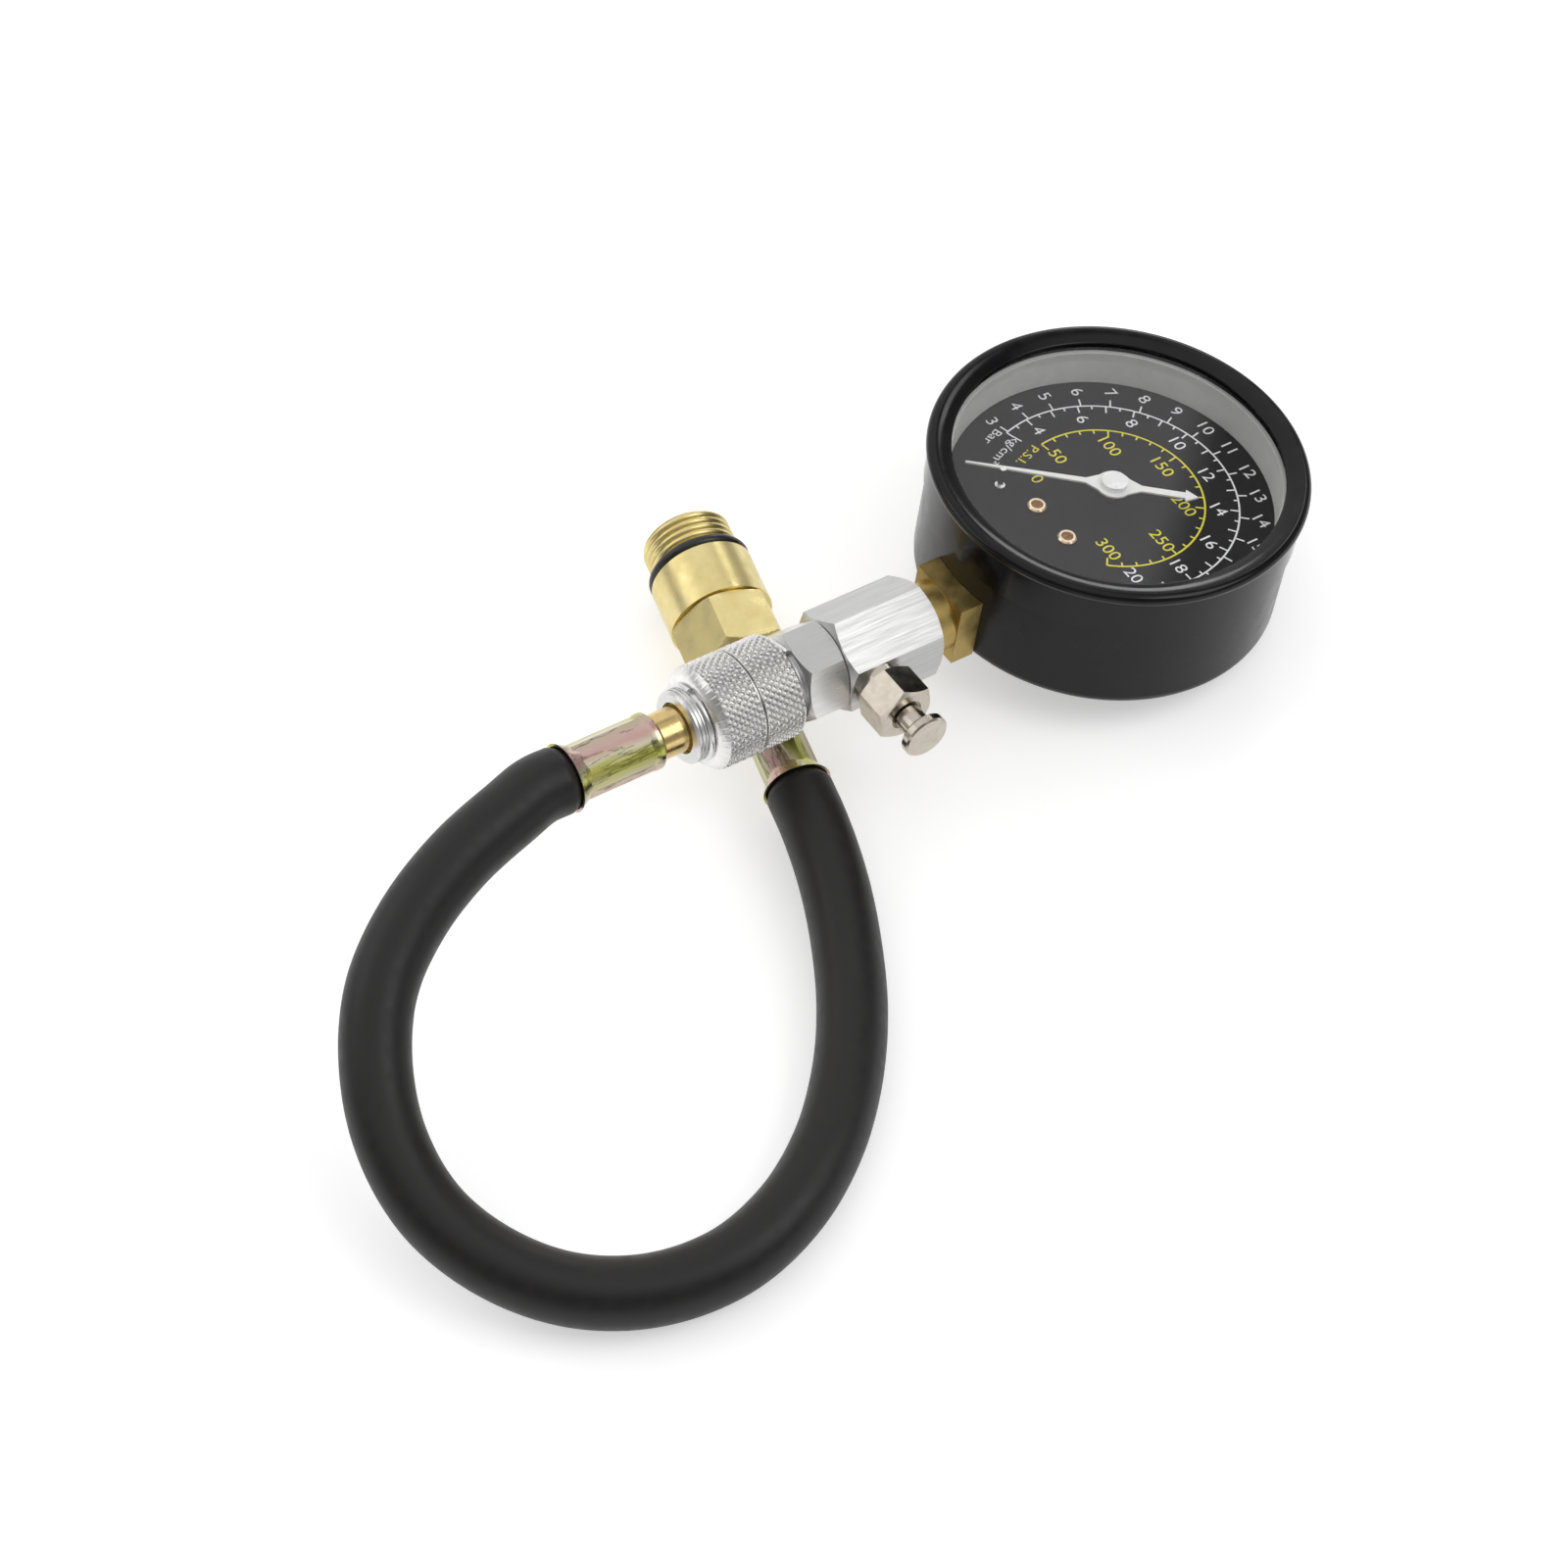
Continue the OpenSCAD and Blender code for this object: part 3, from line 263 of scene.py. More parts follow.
@dataclass(frozen=True)
class Finish:
    """One metal, paint, rubber or plastic finish, built as shader nodes.

    Args:
        name: What the finish is called.
        base: Main colour, linear.
        second: Colour that the variation leans to.
        metallic: 1 for bare or plated metal.
        roughness: Mean roughness.
        spread: How far the roughness varies.
        scale: Size of the variation, in cycles per metre.
        grain: How the variation runs.
        bump: Height of the fine relief, in metres.
        gloss: Strength of the plain shine of paint and rubber; 0.5 is that of common plastic.
        axes: Frame that the grain follows along its z.
        groove: Colour of the painted shade in grooves, laid on where the piece says how deep they are.
    """

    name: str
    base: Colour
    second: Colour
    metallic: float = 0.0
    roughness: float = 0.4
    spread: float = 0.1
    scale: float = 300.0
    grain: Grain = Grain.MOTTLED
    bump: float = 0.0
    gloss: float = 0.5
    axes: Axes | None = None
    groove: Colour | None = None

    def pattern(self, graph: Graph) -> Pattern:
        """Adds the noise that colour and roughness follow, in the finish's own frame.

        Args:
            graph: The material's nodes.

        Returns:
            The place and the noise there, which is also the value to follow.
        """
        turned = {}
        if self.axes is not None:
            turn = Matrix(self.axes.rows().T.tolist()).to_euler("XYZ")
            turned = {"Location": tuple(self.axes.origin), "Rotation": tuple(turn)}
        coords = graph.add("TexCoord").outputs["Object"]
        place = graph.add("Mapping", {"Vector": coords, **turned}, vector_type="TEXTURE").outputs["Vector"]
        stretch = (self.scale, self.scale, self.scale / self.grain.value)
        sized = graph.add("Mapping", {"Vector": place, "Scale": stretch}).outputs["Vector"]
        feeds = {"Vector": sized, "Scale": 1.0, "Detail": NOISE_DETAIL, "Roughness": NOISE_ROUGHNESS}
        noise = graph.add("TexNoise", feeds).outputs["Fac"]
        return Pattern(place, noise, noise)

    def colour(self, graph: Graph, pattern: Pattern) -> Socket:
        """Runs the value from the main colour to the second, and paints shade into the grooves by their
        depth.

        Args:
            graph: The material's nodes.
            pattern: What the finish reads.

        Returns:
            The colour.
        """
        shade = graph.ramp(pattern.value, tuple(zip(COLOUR_SPAN, (self.base, self.second))))
        if self.groove is None:
            return shade
        # Painted shade: grooves darken towards the groove colour by their depth.
        depth = graph.add("Attribute", attribute_name=GROOVE_SHADE).outputs["Fac"]
        return graph.mix(depth, shade, (*self.groove, 1.0))

    def build(self) -> Material:
        """Makes the material: colour and roughness from one value, and a fine relief where it has one.

        Returns:
            The material.
        """
        material, graph, shader = new_material(self.name)
        pattern = self.pattern(graph)
        low, high = NOISE_SPAN
        rough = graph.add("MapRange", {
            "Value": pattern.value, "From Min": low, "From Max": high,
            "To Min": max(SMOOTHEST, self.roughness - self.spread),
            "To Max": min(1.0, self.roughness + self.spread)})
        graph.feed(shader, {
            "Base Color": self.colour(graph, pattern), "Metallic": self.metallic,
            "Roughness": rough.outputs["Result"], "Specular IOR Level": self.gloss})
        if self.bump:
            relief = graph.add("Bump", {"Strength": 1.0, "Distance": self.bump, "Height": pattern.value})
            graph.feed(shader, {"Normal": relief.outputs["Normal"]})
        return material


@dataclass(frozen=True)
class Metal(Finish):
    """Bare or plated metal."""

    metallic: float = 1.0


@dataclass(frozen=True)
class ZincPlate(Metal):
    """Yellow zinc plate, whose thin film plays from mauve to olive and back in bands along the piece, with a
    painted highlight among the bands and painted shade in thin dark lines where it is crimped.

    Args:
        film: Place and colour of the film's other tints, between the main colour at both ends; the pale cream
            tint is a painted highlight.
        olive: Place of the second colour in the film.
        crimp: Brightness along the noise, which falls to thin dark lines of painted shade where the ferrule
            is crimped.
        repeats: How many times the film's colours come round the piece.
        unrest: How far the noise shifts the bands.
    """

    # Film tints by place in the band; the pale cream tint at 0.72 is a painted highlight, the others are the
    # film's own colour.
    film: tuple[tuple[float, Colour], ...] = (
        (0.25, (0.50, 0.46, 0.30)), (0.58, (0.52, 0.50, 0.16)),
        (0.72, (0.72, 0.68, 0.50)), (0.88, (0.58, 0.36, 0.33)))
    olive: float = 0.5
    # Painted shade: the brightness falls to thin dark lines where the ferrule is crimped.
    crimp: tuple[tuple[float, float], ...] = ((0.0, 1.0), (0.40, 1.0), (0.43, 0.4), (0.46, 1.0), (1.0, 1.0))
    repeats: float = 3.0
    unrest: float = 0.5

    def pattern(self, graph: Graph) -> Pattern:
        """Adds the film's thickness: the angle round the piece, a few times over, shifted by the noise.

        Args:
            graph: The material's nodes.

        Returns:
            The pattern, with the place in the film's colours as the value to follow.
        """
        plain = super().pattern(graph)
        split = graph.add("SeparateXYZ", {"Vector": plain.place})
        angle = graph.math("ARCTAN2", split.outputs["Y"], split.outputs["X"])
        shift = graph.math("MULTIPLY_ADD", plain.noise, self.unrest, -self.unrest / 2)
        bands = graph.math("MULTIPLY_ADD", angle, self.repeats / (2 * math.pi), shift)
        return replace(plain, value=graph.math("FRACT", bands))

    def colour(self, graph: Graph, pattern: Pattern) -> Socket:
        """Runs the film's thickness through its colours, and paints thin lines of shade along the piece where
        it is crimped.

        Args:
            graph: The material's nodes.
            pattern: What the finish reads.

        Returns:
            The colour.
        """
        stops = sorted([(0.0, self.base), (self.olive, self.second), *self.film, (1.0, self.base)])
        shade = graph.ramp(pattern.value, stops)
        # Painted shade: the brightness ramp darkens thin lines along the piece.
        return graph.mix(1.0, shade, graph.grey_ramp(pattern.noise, self.crimp), blend="MULTIPLY")


@dataclass(frozen=True)
class RivetBrass(Metal):
    """Bright brass of a small head, with painted shade in its dimple and round its foot.

    Args:
        tarnish: Colour of the painted shade in the dimple and round the foot.
        level: Height in its frame where the painted shade ends.
        blur: How far above and below that the colours run into each other.
        shoulder: Where on that way the second colour lies.
    """

    # Painted shade: below the level the head darkens, standing in for the shade in its dimple and round its
    # foot.
    tarnish: Colour = (0.30, 0.16, 0.06)
    level: float = 20.72 * MM
    blur: float = 0.12 * MM
    shoulder: float = 0.7

    def colour(self, graph: Graph, pattern: Pattern) -> Socket:
        """Runs from the painted shade to the bright colour by height.

        Args:
            graph: The material's nodes.
            pattern: What the finish reads.

        Returns:
            The colour.
        """
        split = graph.add("SeparateXYZ", {"Vector": pattern.place})
        low, high = self.level - self.blur, self.level + self.blur
        height = graph.add("MapRange", {"Value": split.outputs["Z"], "From Min": low, "From Max": high})
        stops = ((0.0, self.tarnish), (self.shoulder, self.second), (1.0, self.base))
        return graph.ramp(height.outputs["Result"], stops)


@dataclass(frozen=True)
class ClearGlass:
    """Clear window glass that mirrors a little, with a faint smear."""

    name: str = "window glass"
    tint: Colour = (1.0, 0.98, 1.0)
    mirror: float = 0.037
    smear: float = 90.0
    smooth: float = 0.01
    dull: float = 0.03

    def build(self) -> Material:
        """Makes the glass, whose roughness follows a wide noise.

        Returns:
            The material.
        """
        material, graph, shader = new_material(self.name)
        coords = graph.add("TexCoord").outputs["Object"]
        noise = graph.add("TexNoise", {"Vector": coords, "Scale": self.smear}).outputs["Fac"]
        rough = graph.add("MapRange", {"Value": noise, "To Min": self.smooth, "To Max": self.dull})
        graph.feed(shader, {
            "Base Color": (*self.tint, 1.0), "Metallic": 1.0,
            "Roughness": rough.outputs["Result"], "Alpha": self.mirror})
        return material


def make_piece(name: str, points: np.ndarray, faces: np.ndarray, material: Material, body: str | None,
               sharp: float = 40.0, groove: np.ndarray | None = None) -> Piece:
    """Puts arrays into a mesh object that rides on a body.

    Args:
        name: The piece's name.
        points: Corners as (..., 3), in the row frame.
        faces: Corner numbers as (m, 3) or (m, 4), outwards by the right-hand rule.
        material: The piece's material.
        body: The body that it moves with, or None to leave it on no body.
        sharp: Edges over this angle stay sharp, in degrees.
        groove: How deep in a groove each corner lies, 0 to 1, kept for the finish that paints shade into
            grooves.

    Returns:
        The object.
    """
    mesh = bpy.data.meshes.new(name)
    mesh.vertices.add(points.size // 3)
    mesh.vertices.foreach_set("co", points.astype(np.float32).ravel())
    mesh.loops.add(faces.size)
    mesh.loops.foreach_set("vertex_index", faces.astype(np.int32).ravel())
    mesh.polygons.add(len(faces))
    mesh.polygons.foreach_set("loop_start", np.arange(0, faces.size, faces.shape[1], dtype=np.int32))
    mesh.update(calc_edges=True)
    mesh.validate()
    mesh.shade_smooth()
    mesh.set_sharp_from_angle(angle=math.radians(sharp))
    # Painted shade: each corner's depth in a groove is kept as a point attribute, and the finish darkens the
    # colour there.
    if groove is not None:
        groove_shade_depths = mesh.attributes.new(GROOVE_SHADE, "FLOAT", "POINT")
        groove_shade_depths.data.foreach_set("value", groove.astype(np.float32).ravel())
    piece = bpy.data.objects.new(name, mesh)
    bpy.context.scene.collection.objects.link(piece)
    mesh.materials.append(material)
    if body is not None:
        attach(piece, body)
    return piece


def full_turn(count: int) -> np.ndarray:
    """Gives evenly spaced angles once round, in radians."""
    return np.linspace(0.0, 2 * np.pi, count, endpoint=False)


def grid_faces(points: np.ndarray, round_rows: bool = False) -> np.ndarray:
    """Numbers the quads of a grid whose columns go round.

    Args:
        points: The grid, as (rows, columns, 3).
        round_rows: Whether the last row joins the first.

    Returns:
        Corner numbers as (m, 4).
    """
    rows, columns = points.shape[:2]
    row = np.arange(rows if round_rows else rows - 1)[:, None]
    column = np.arange(columns)[None, :]
    ahead, beside = (row + 1) % rows, (column + 1) % columns
    corners = ((row, column), (row, beside), (ahead, beside), (ahead, column))
    return np.stack([down * columns + across for down, across in corners], axis=-1).reshape(-1, 4)


def lathe(axes: Axes, stations: np.ndarray, radii: np.ndarray, angles: np.ndarray) -> np.ndarray:
    """Turns a profile about a frame's z: a point is r(cos a, sin a) at its station.

    Args:
        axes: The frame.
        stations: Station of each row along z.
        radii: Radius of each row, or of each point as (rows, columns).
        angles: Angle of each column, in radians.

    Returns:
        Points as (rows, columns, 3), in the row frame.
    """
    spread = np.broadcast_to(radii if radii.ndim == 2 else radii[:, None], (len(stations), len(angles)))
    along = np.broadcast_to(stations[:, None], spread.shape)
    return axes.place(np.stack([spread * np.cos(angles), spread * np.sin(angles), along], axis=-1))


@dataclass
class Layout:
    """The part's frames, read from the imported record."""

    gauge: Axes
    stem: Axes
    relief: Axes
    adapter: Axes

    @classmethod
    def from_frame(cls, frame: dict[str, Any]) -> Layout:
        """Works out the frames from joints and mounts.


        Returns:
            The layout.
        """
        joints = {joint["name"]: joint for joint in frame["joints"]}
        mounts = {mount["name"]: mount for mount in frame["record"]["mounts"]}
        back = np.array(mounts["case_back"]["pos_m"])
        normal = -np.array(mounts["case_back"]["axis"])
        down = np.array(joints["hose_swivel"]["axis"])
        on_stem = np.array(joints["hose_swivel"]["pos_m"])
        stem = Axes.along(on_stem - down * float((on_stem - back) @ down), down, normal)
        thread = mounts["spark_plug_thread"]
        axis = np.array(thread["axis"])
        mouth = np.array(thread["pos_m"]) - axis * Adapter().mount_station()
        return cls(gauge=Axes.along(back, normal, -down), stem=stem,
                   relief=Axes.along(stem.on_axis(RELIEF_STATION), -stem.y, stem.x),
                   adapter=Axes.along(mouth, axis, (1.0, 0.0, 0.0)))


@dataclass
class Hose:
    """The rubber hose: a tube along the part's route, necked where the ferrules hold it."""

    radius: float = 6.5 * MM
    held_radius: float = 4.53 * MM
    ferrule: float = 19.0 * MM
    plate: float = 1.0 * MM
    flare: float = 2.6 * MM
    mouth: float = 0.5 * MM
    mouth_play: float = 0.9 * MM
    stub: float = 1.5 * MM
    leave_run: float = 4.0 * MM
    arrive_run: float = 6.5 * MM
    plug_ferrule: float = 104.5 * MM
    sides: int = 48
    steps: int = 12
    free: tuple[Place, ...] = (
        (-0.105, -0.0015, 0.035), (-0.118, -0.0045, 0.0345), (-0.1305, -0.009, 0.032),
        (-0.1415, -0.016, 0.0285), (-0.150, -0.027, 0.0235), (-0.1545, -0.039, 0.0188),
        (-0.155, -0.052, 0.0145), (-0.1505, -0.065, 0.011), (-0.142, -0.076, 0.0084),
        (-0.130, -0.0835, 0.0069), (-0.116, -0.0865, 0.0066), (-0.102, -0.084, 0.0066),
        (-0.0895, -0.0775, 0.0066), (-0.0785, -0.068, 0.0066), (-0.0695, -0.057, 0.0067),
        (-0.062, -0.0445, 0.0071), (-0.056, -0.0315, 0.008))

    def held(self) -> np.ndarray:
        """Gives the rings inside a ferrule: distance from its closed end, and radius."""
        inside = self.ferrule - self.plate
        return np.array([[0.0, self.held_radius], [inside - self.flare, self.held_radius],
                         [inside - self.mouth, self.radius - self.mouth_play]])

    def route(self, layout: Layout) -> np.ndarray:
        """Gives the points outside the ferrules.

        Args:
            layout: The part's frames.

        Returns:
            Points as (n, 3).
        """
        out = self.plug_ferrule + self.ferrule + self.stub
        leave = layout.stem.on_axis(out + np.array([0.0, self.leave_run]))
        arrive = layout.adapter.on_axis(-self.stub - np.array([self.arrive_run, 0.0]))
        return np.concatenate([leave, self.free, arrive])

    def curve(self, points: np.ndarray) -> np.ndarray:
        """Draws one smooth line: a cubic in each span, with headings weighed by the span lengths.

        Args:
            points: Points that the line goes through, as (n, 3).

        Returns:
            Points as (m, 3), close together.
        """
        spans = np.diff(points, axis=0)
        lengths = np.linalg.norm(spans, axis=1, keepdims=True)
        ways = spans / lengths
        inner = (ways[:-1] * lengths[1:] + ways[1:] * lengths[:-1]) / (lengths[1:] + lengths[:-1])
        headings = np.concatenate([ways[:1], inner, ways[-1:]])
        t = (np.arange(self.steps) / self.steps)[None, :, None]
        u = 1.0 - t
        start, stop = points[:-1, None], points[1:, None]
        line = (u * u * (1 + 2 * t) * start + t * t * (1 + 2 * u) * stop
                + lengths[:, None] * t * u * (u * headings[:-1, None] - t * headings[1:, None]))
        return np.concatenate([line.reshape(-1, 3), points[-1:]])

    def build(self, layout: Layout, material: Material, carried: list[Piece]) -> Piece:
        """Args:
            layout: The part's frames.
            material: The rubber.
            carried: The pieces at its far end; not used.

        Returns:
            The hose.
        """
        held = self.held()
        first = layout.stem.on_axis(self.plug_ferrule + self.plate + held[:, 0])
        last = layout.adapter.on_axis(self.ferrule - self.plate - held[::-1, 0])
        free = self.curve(self.route(layout))
        line = np.concatenate([first, free, last])
        radii = np.concatenate([held[:, 1], np.full(len(free), self.radius), held[::-1, 1]])
        ways = np.gradient(line, axis=0)
        ways /= np.linalg.norm(ways, axis=1, keepdims=True)
        side = np.cross(ways, (0.0, 0.0, 1.0))
        side /= np.linalg.norm(side, axis=1, keepdims=True)
        up = np.cross(side, ways)
        angles = full_turn(self.sides)[None, :, None]
        ring = np.cos(angles) * side[:, None] + np.sin(angles) * up[:, None]
        points = line[:, None] + radii[:, None, None] * ring
        faces = grid_faces(points)[:, ::-1]
        piece = make_piece("rubber_hose", points, faces, material, "hose_line")
        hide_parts("hose")
        return piece


@dataclass
class DialPrint:
    """Arcs, ticks, numerals and unit words printed on the dial.

    Angles are in degrees, clockwise from the top of the dial. A pair of ticks is the short and the long one.
    """

    face: float = 20.1 * MM
    ink: float = 0.04 * MM
    line: float = 0.36 * MM
    tick: float = 0.34 * MM
    arc_points: int = 97
    numeral: float = 3.6 * MM
    numeral_stretch: float = 1.1
    word: float = 2.6 * MM
    word_stretch: float = 1.3
    word_turn: float = -70.0
    type_steps: int = 4
    arc_stop: float = 130.0
    psi_radius: float = 18.3 * MM
    psi_start: float = -100.0
    psi_values: tuple[int, int, int] = (50, 300, 10)
    psi_main: int = 50
    psi_ticks: tuple[float, float] = (1.0 * MM, 1.9 * MM)
    psi_inset: float = 4.2 * MM
    zero_radius: float = 14.6 * MM
    zero_turn: float = -132.0
    outer_radius: float = 25.0 * MM
    outer_values: tuple[int, int] = (3, 20)
    bar_start: float = -106.0
    bar_step: float = 13.37
    bar_tick: float = 1.9 * MM
    bar_outset: float = 4.0 * MM
    kg_start: float = -107.0
    kg_step: float = 13.11
    kg_ticks: tuple[float, float] = (0.9 * MM, 1.8 * MM)
    kg_insets: tuple[float, float] = (3.6 * MM, 4.3 * MM)
    kg_wide_from: int = 12
    words: tuple[tuple[Ink, str, float, float], ...] = (
        (Ink.YELLOW, "P.S.I.", 18.6 * MM, -113.5), (Ink.WHITE, "Bar", 26.5 * MM, -113.0),
        (Ink.WHITE, "kg/cm²", 22.6 * MM, -117.5))
    parts: dict[Ink, list[tuple[np.ndarray, np.ndarray]]] = field(
        default_factory=lambda: {ink: [] for ink in Ink})

    def polar(self, radius: np.ndarray | float, clockwise: np.ndarray | float) -> np.ndarray:
        """Gives the places at a radius and an angle as (..., 2), x to the top of the dial."""
        turn = np.radians(clockwise)
        return np.stack(np.broadcast_arrays(radius * np.cos(turn), -radius * np.sin(turn)), axis=-1)

    def add_quads(self, ink: Ink, places: np.ndarray, quads: np.ndarray) -> None:
        """Adds flat quads, each as two triangles."""
        self.parts[ink].append((places, np.concatenate([quads[:, [0, 1, 2]], quads[:, [0, 2, 3]]])))

    def arc(self, ink: Ink, radius: float, start: float) -> None:
        """Adds an arc to the end of the scales: a flat strip between two radii.

        Args:
            ink: Its ink.
            radius: Middle of the strip.
            start: Its first angle.
        """
        turns = np.linspace(start, self.arc_stop, self.arc_points)
        edges = [self.polar(radius + side * self.line / 2, turns) for side in (-1.0, 1.0)]
        n = np.arange(len(turns) - 1)[:, None] * 2
        quads = np.concatenate([n, n + 2, n + 3, n + 1], axis=1)
        self.add_quads(ink, np.stack(edges, 1).reshape(-1, 2), quads)

    def ticks(self, ink: Ink, turns: np.ndarray, inner: float, outer: float) -> None:
        """Adds radial ticks: a thin rectangle at each angle.

        Args:
            ink: Their ink.
            turns: Their angles.
            inner: Radius of the inner end.
            outer: Radius of the outer end.
        """
        angle = np.radians(turns)[:, None]
        along = np.stack([np.cos(angle), -np.sin(angle)], -1)
        across = np.stack([np.sin(angle), np.cos(angle)], -1)
        reach = np.array([inner, outer, outer, inner])[None, :, None]
        half = np.array([-1.0, -1.0, 1.0, 1.0])[None, :, None] * self.tick / 2
        places = along * reach + across * half
        self.add_quads(ink, places.reshape(-1, 2), np.arange(len(turns) * 4).reshape(-1, 4))

    def number(self, ink: Ink, value: int, radius: float, clockwise: float) -> None:
        """Adds an upright number at a radius and an angle."""
        at = self.polar(radius, clockwise)
        self.lettering(ink, str(value), at, self.numeral, self.numeral_stretch, 0.0)

    def lettering(self, ink: Ink, text: str, at: np.ndarray, size: float, stretch: float,
                  turn: float) -> None:
        """Adds lettering, centred on a place, as the triangles of a filled text.

        Args:
            ink: Its ink.
            text: Numbers or unit words.
            at: Its middle on the dial.
            size: Height of the type.
            stretch: How much wider than usual the type is.
            turn: Its turn from upright, counterclockwise.
        """
        curve = bpy.data.curves.new("lettering", "FONT")
        curve.body, curve.size, curve.resolution_u = text, size, self.type_steps
        curve.align_x = curve.align_y = "CENTER"
        holder = bpy.data.objects.new("lettering", curve)
        mesh = bpy.data.meshes.new_from_object(holder)
        mesh.calc_loop_triangles()
        flat = np.empty(len(mesh.vertices) * 3, np.float32)
        mesh.vertices.foreach_get("co", flat)
        faces = np.empty(len(mesh.loop_triangles) * 3, np.int32)
        mesh.loop_triangles.foreach_get("vertices", faces)
        flat = flat.reshape(-1, 3)
        lean = math.radians(turn)
        right = np.array([math.sin(lean), -math.cos(lean)])
        top = np.array([math.cos(lean), math.sin(lean)])
        places = flat[:, :1] * stretch * right + flat[:, 1:2] * top + at
        self.parts[ink].append((places, faces.reshape(-1, 3)))
        bpy.data.objects.remove(holder)
        bpy.data.curves.remove(curve)
        bpy.data.meshes.remove(mesh)

    def psi_scale(self) -> None:
        """Lays out the yellow scale, inside its arc."""
        self.arc(Ink.YELLOW, self.psi_radius, self.psi_start)
        first, last, step = self.psi_values
        psi = np.arange(first, last + 1, step)
        turns = self.psi_start + (psi - first) * (self.arc_stop - self.psi_start) / (last - first)
        main = psi % self.psi_main == 0
        for chosen, length in zip((~main, main), self.psi_ticks):
            self.ticks(Ink.YELLOW, turns[chosen], self.psi_radius - length, self.psi_radius)
        for value, turn in zip(psi[main], turns[main]):
            self.number(Ink.YELLOW, value, self.psi_radius - self.psi_inset, turn)
        self.number(Ink.YELLOW, 0, self.zero_radius, self.zero_turn)

    def outer_scales(self) -> None:
        """Lays out the two white scales on one arc: bar outside, and kilograms inside with their halves."""
        self.arc(Ink.WHITE, self.outer_radius, self.kg_start)
        first, last = self.outer_values
        bar = np.arange(first, last + 1)
        turns = self.bar_start + (bar - first) * self.bar_step
        self.ticks(Ink.WHITE, turns, self.outer_radius, self.outer_radius + self.bar_tick)
        for value, turn in zip(bar, turns):
            self.number(Ink.WHITE, value, self.outer_radius + self.bar_outset, turn)
        halves = np.arange(2 * first, 2 * last + 2)
        turns = self.kg_start + (halves / 2 - first) * self.kg_step
        whole = halves % 2 == 0
        for chosen, length in zip((~whole, whole), self.kg_ticks):
            self.ticks(Ink.WHITE, turns[chosen], self.outer_radius - length, self.outer_radius)
        for value in range(first + 1, last + 1, 2):
            inset = self.kg_insets[value >= self.kg_wide_from]
            turn = self.kg_start + (value - first) * self.kg_step
            self.number(Ink.WHITE, value, self.outer_radius - inset, turn)

    def build(self, layout: Layout, inks: dict[Ink, Material]) -> list[Piece]:
        """Lays out scales and words, and joins each ink's shapes into one flat piece just above the dial.

        Args:
            layout: The part's frames.
            inks: Material of each ink.

        Returns:
            One piece for each ink.
        """
        self.psi_scale()
        self.outer_scales()
        for ink, text, radius, clockwise in self.words:
            at = self.polar(radius, clockwise)
            self.lettering(ink, text, at, self.word, self.word_stretch, self.word_turn)
        pieces = []
        for ink, shapes in self.parts.items():
            starts = np.cumsum([0] + [len(places) for places, _ in shapes[:-1]])
            places = np.concatenate([places for places, _ in shapes])
            faces = np.concatenate([corners + start for (_, corners), start in zip(shapes, starts)])
            level = np.full(len(places), self.face + self.ink)
            points = layout.gauge.place(np.column_stack([places, level]))
            pieces.append(make_piece(f"dial_print_{ink.value}", points, faces, inks[ink], "gauge"))
        return pieces


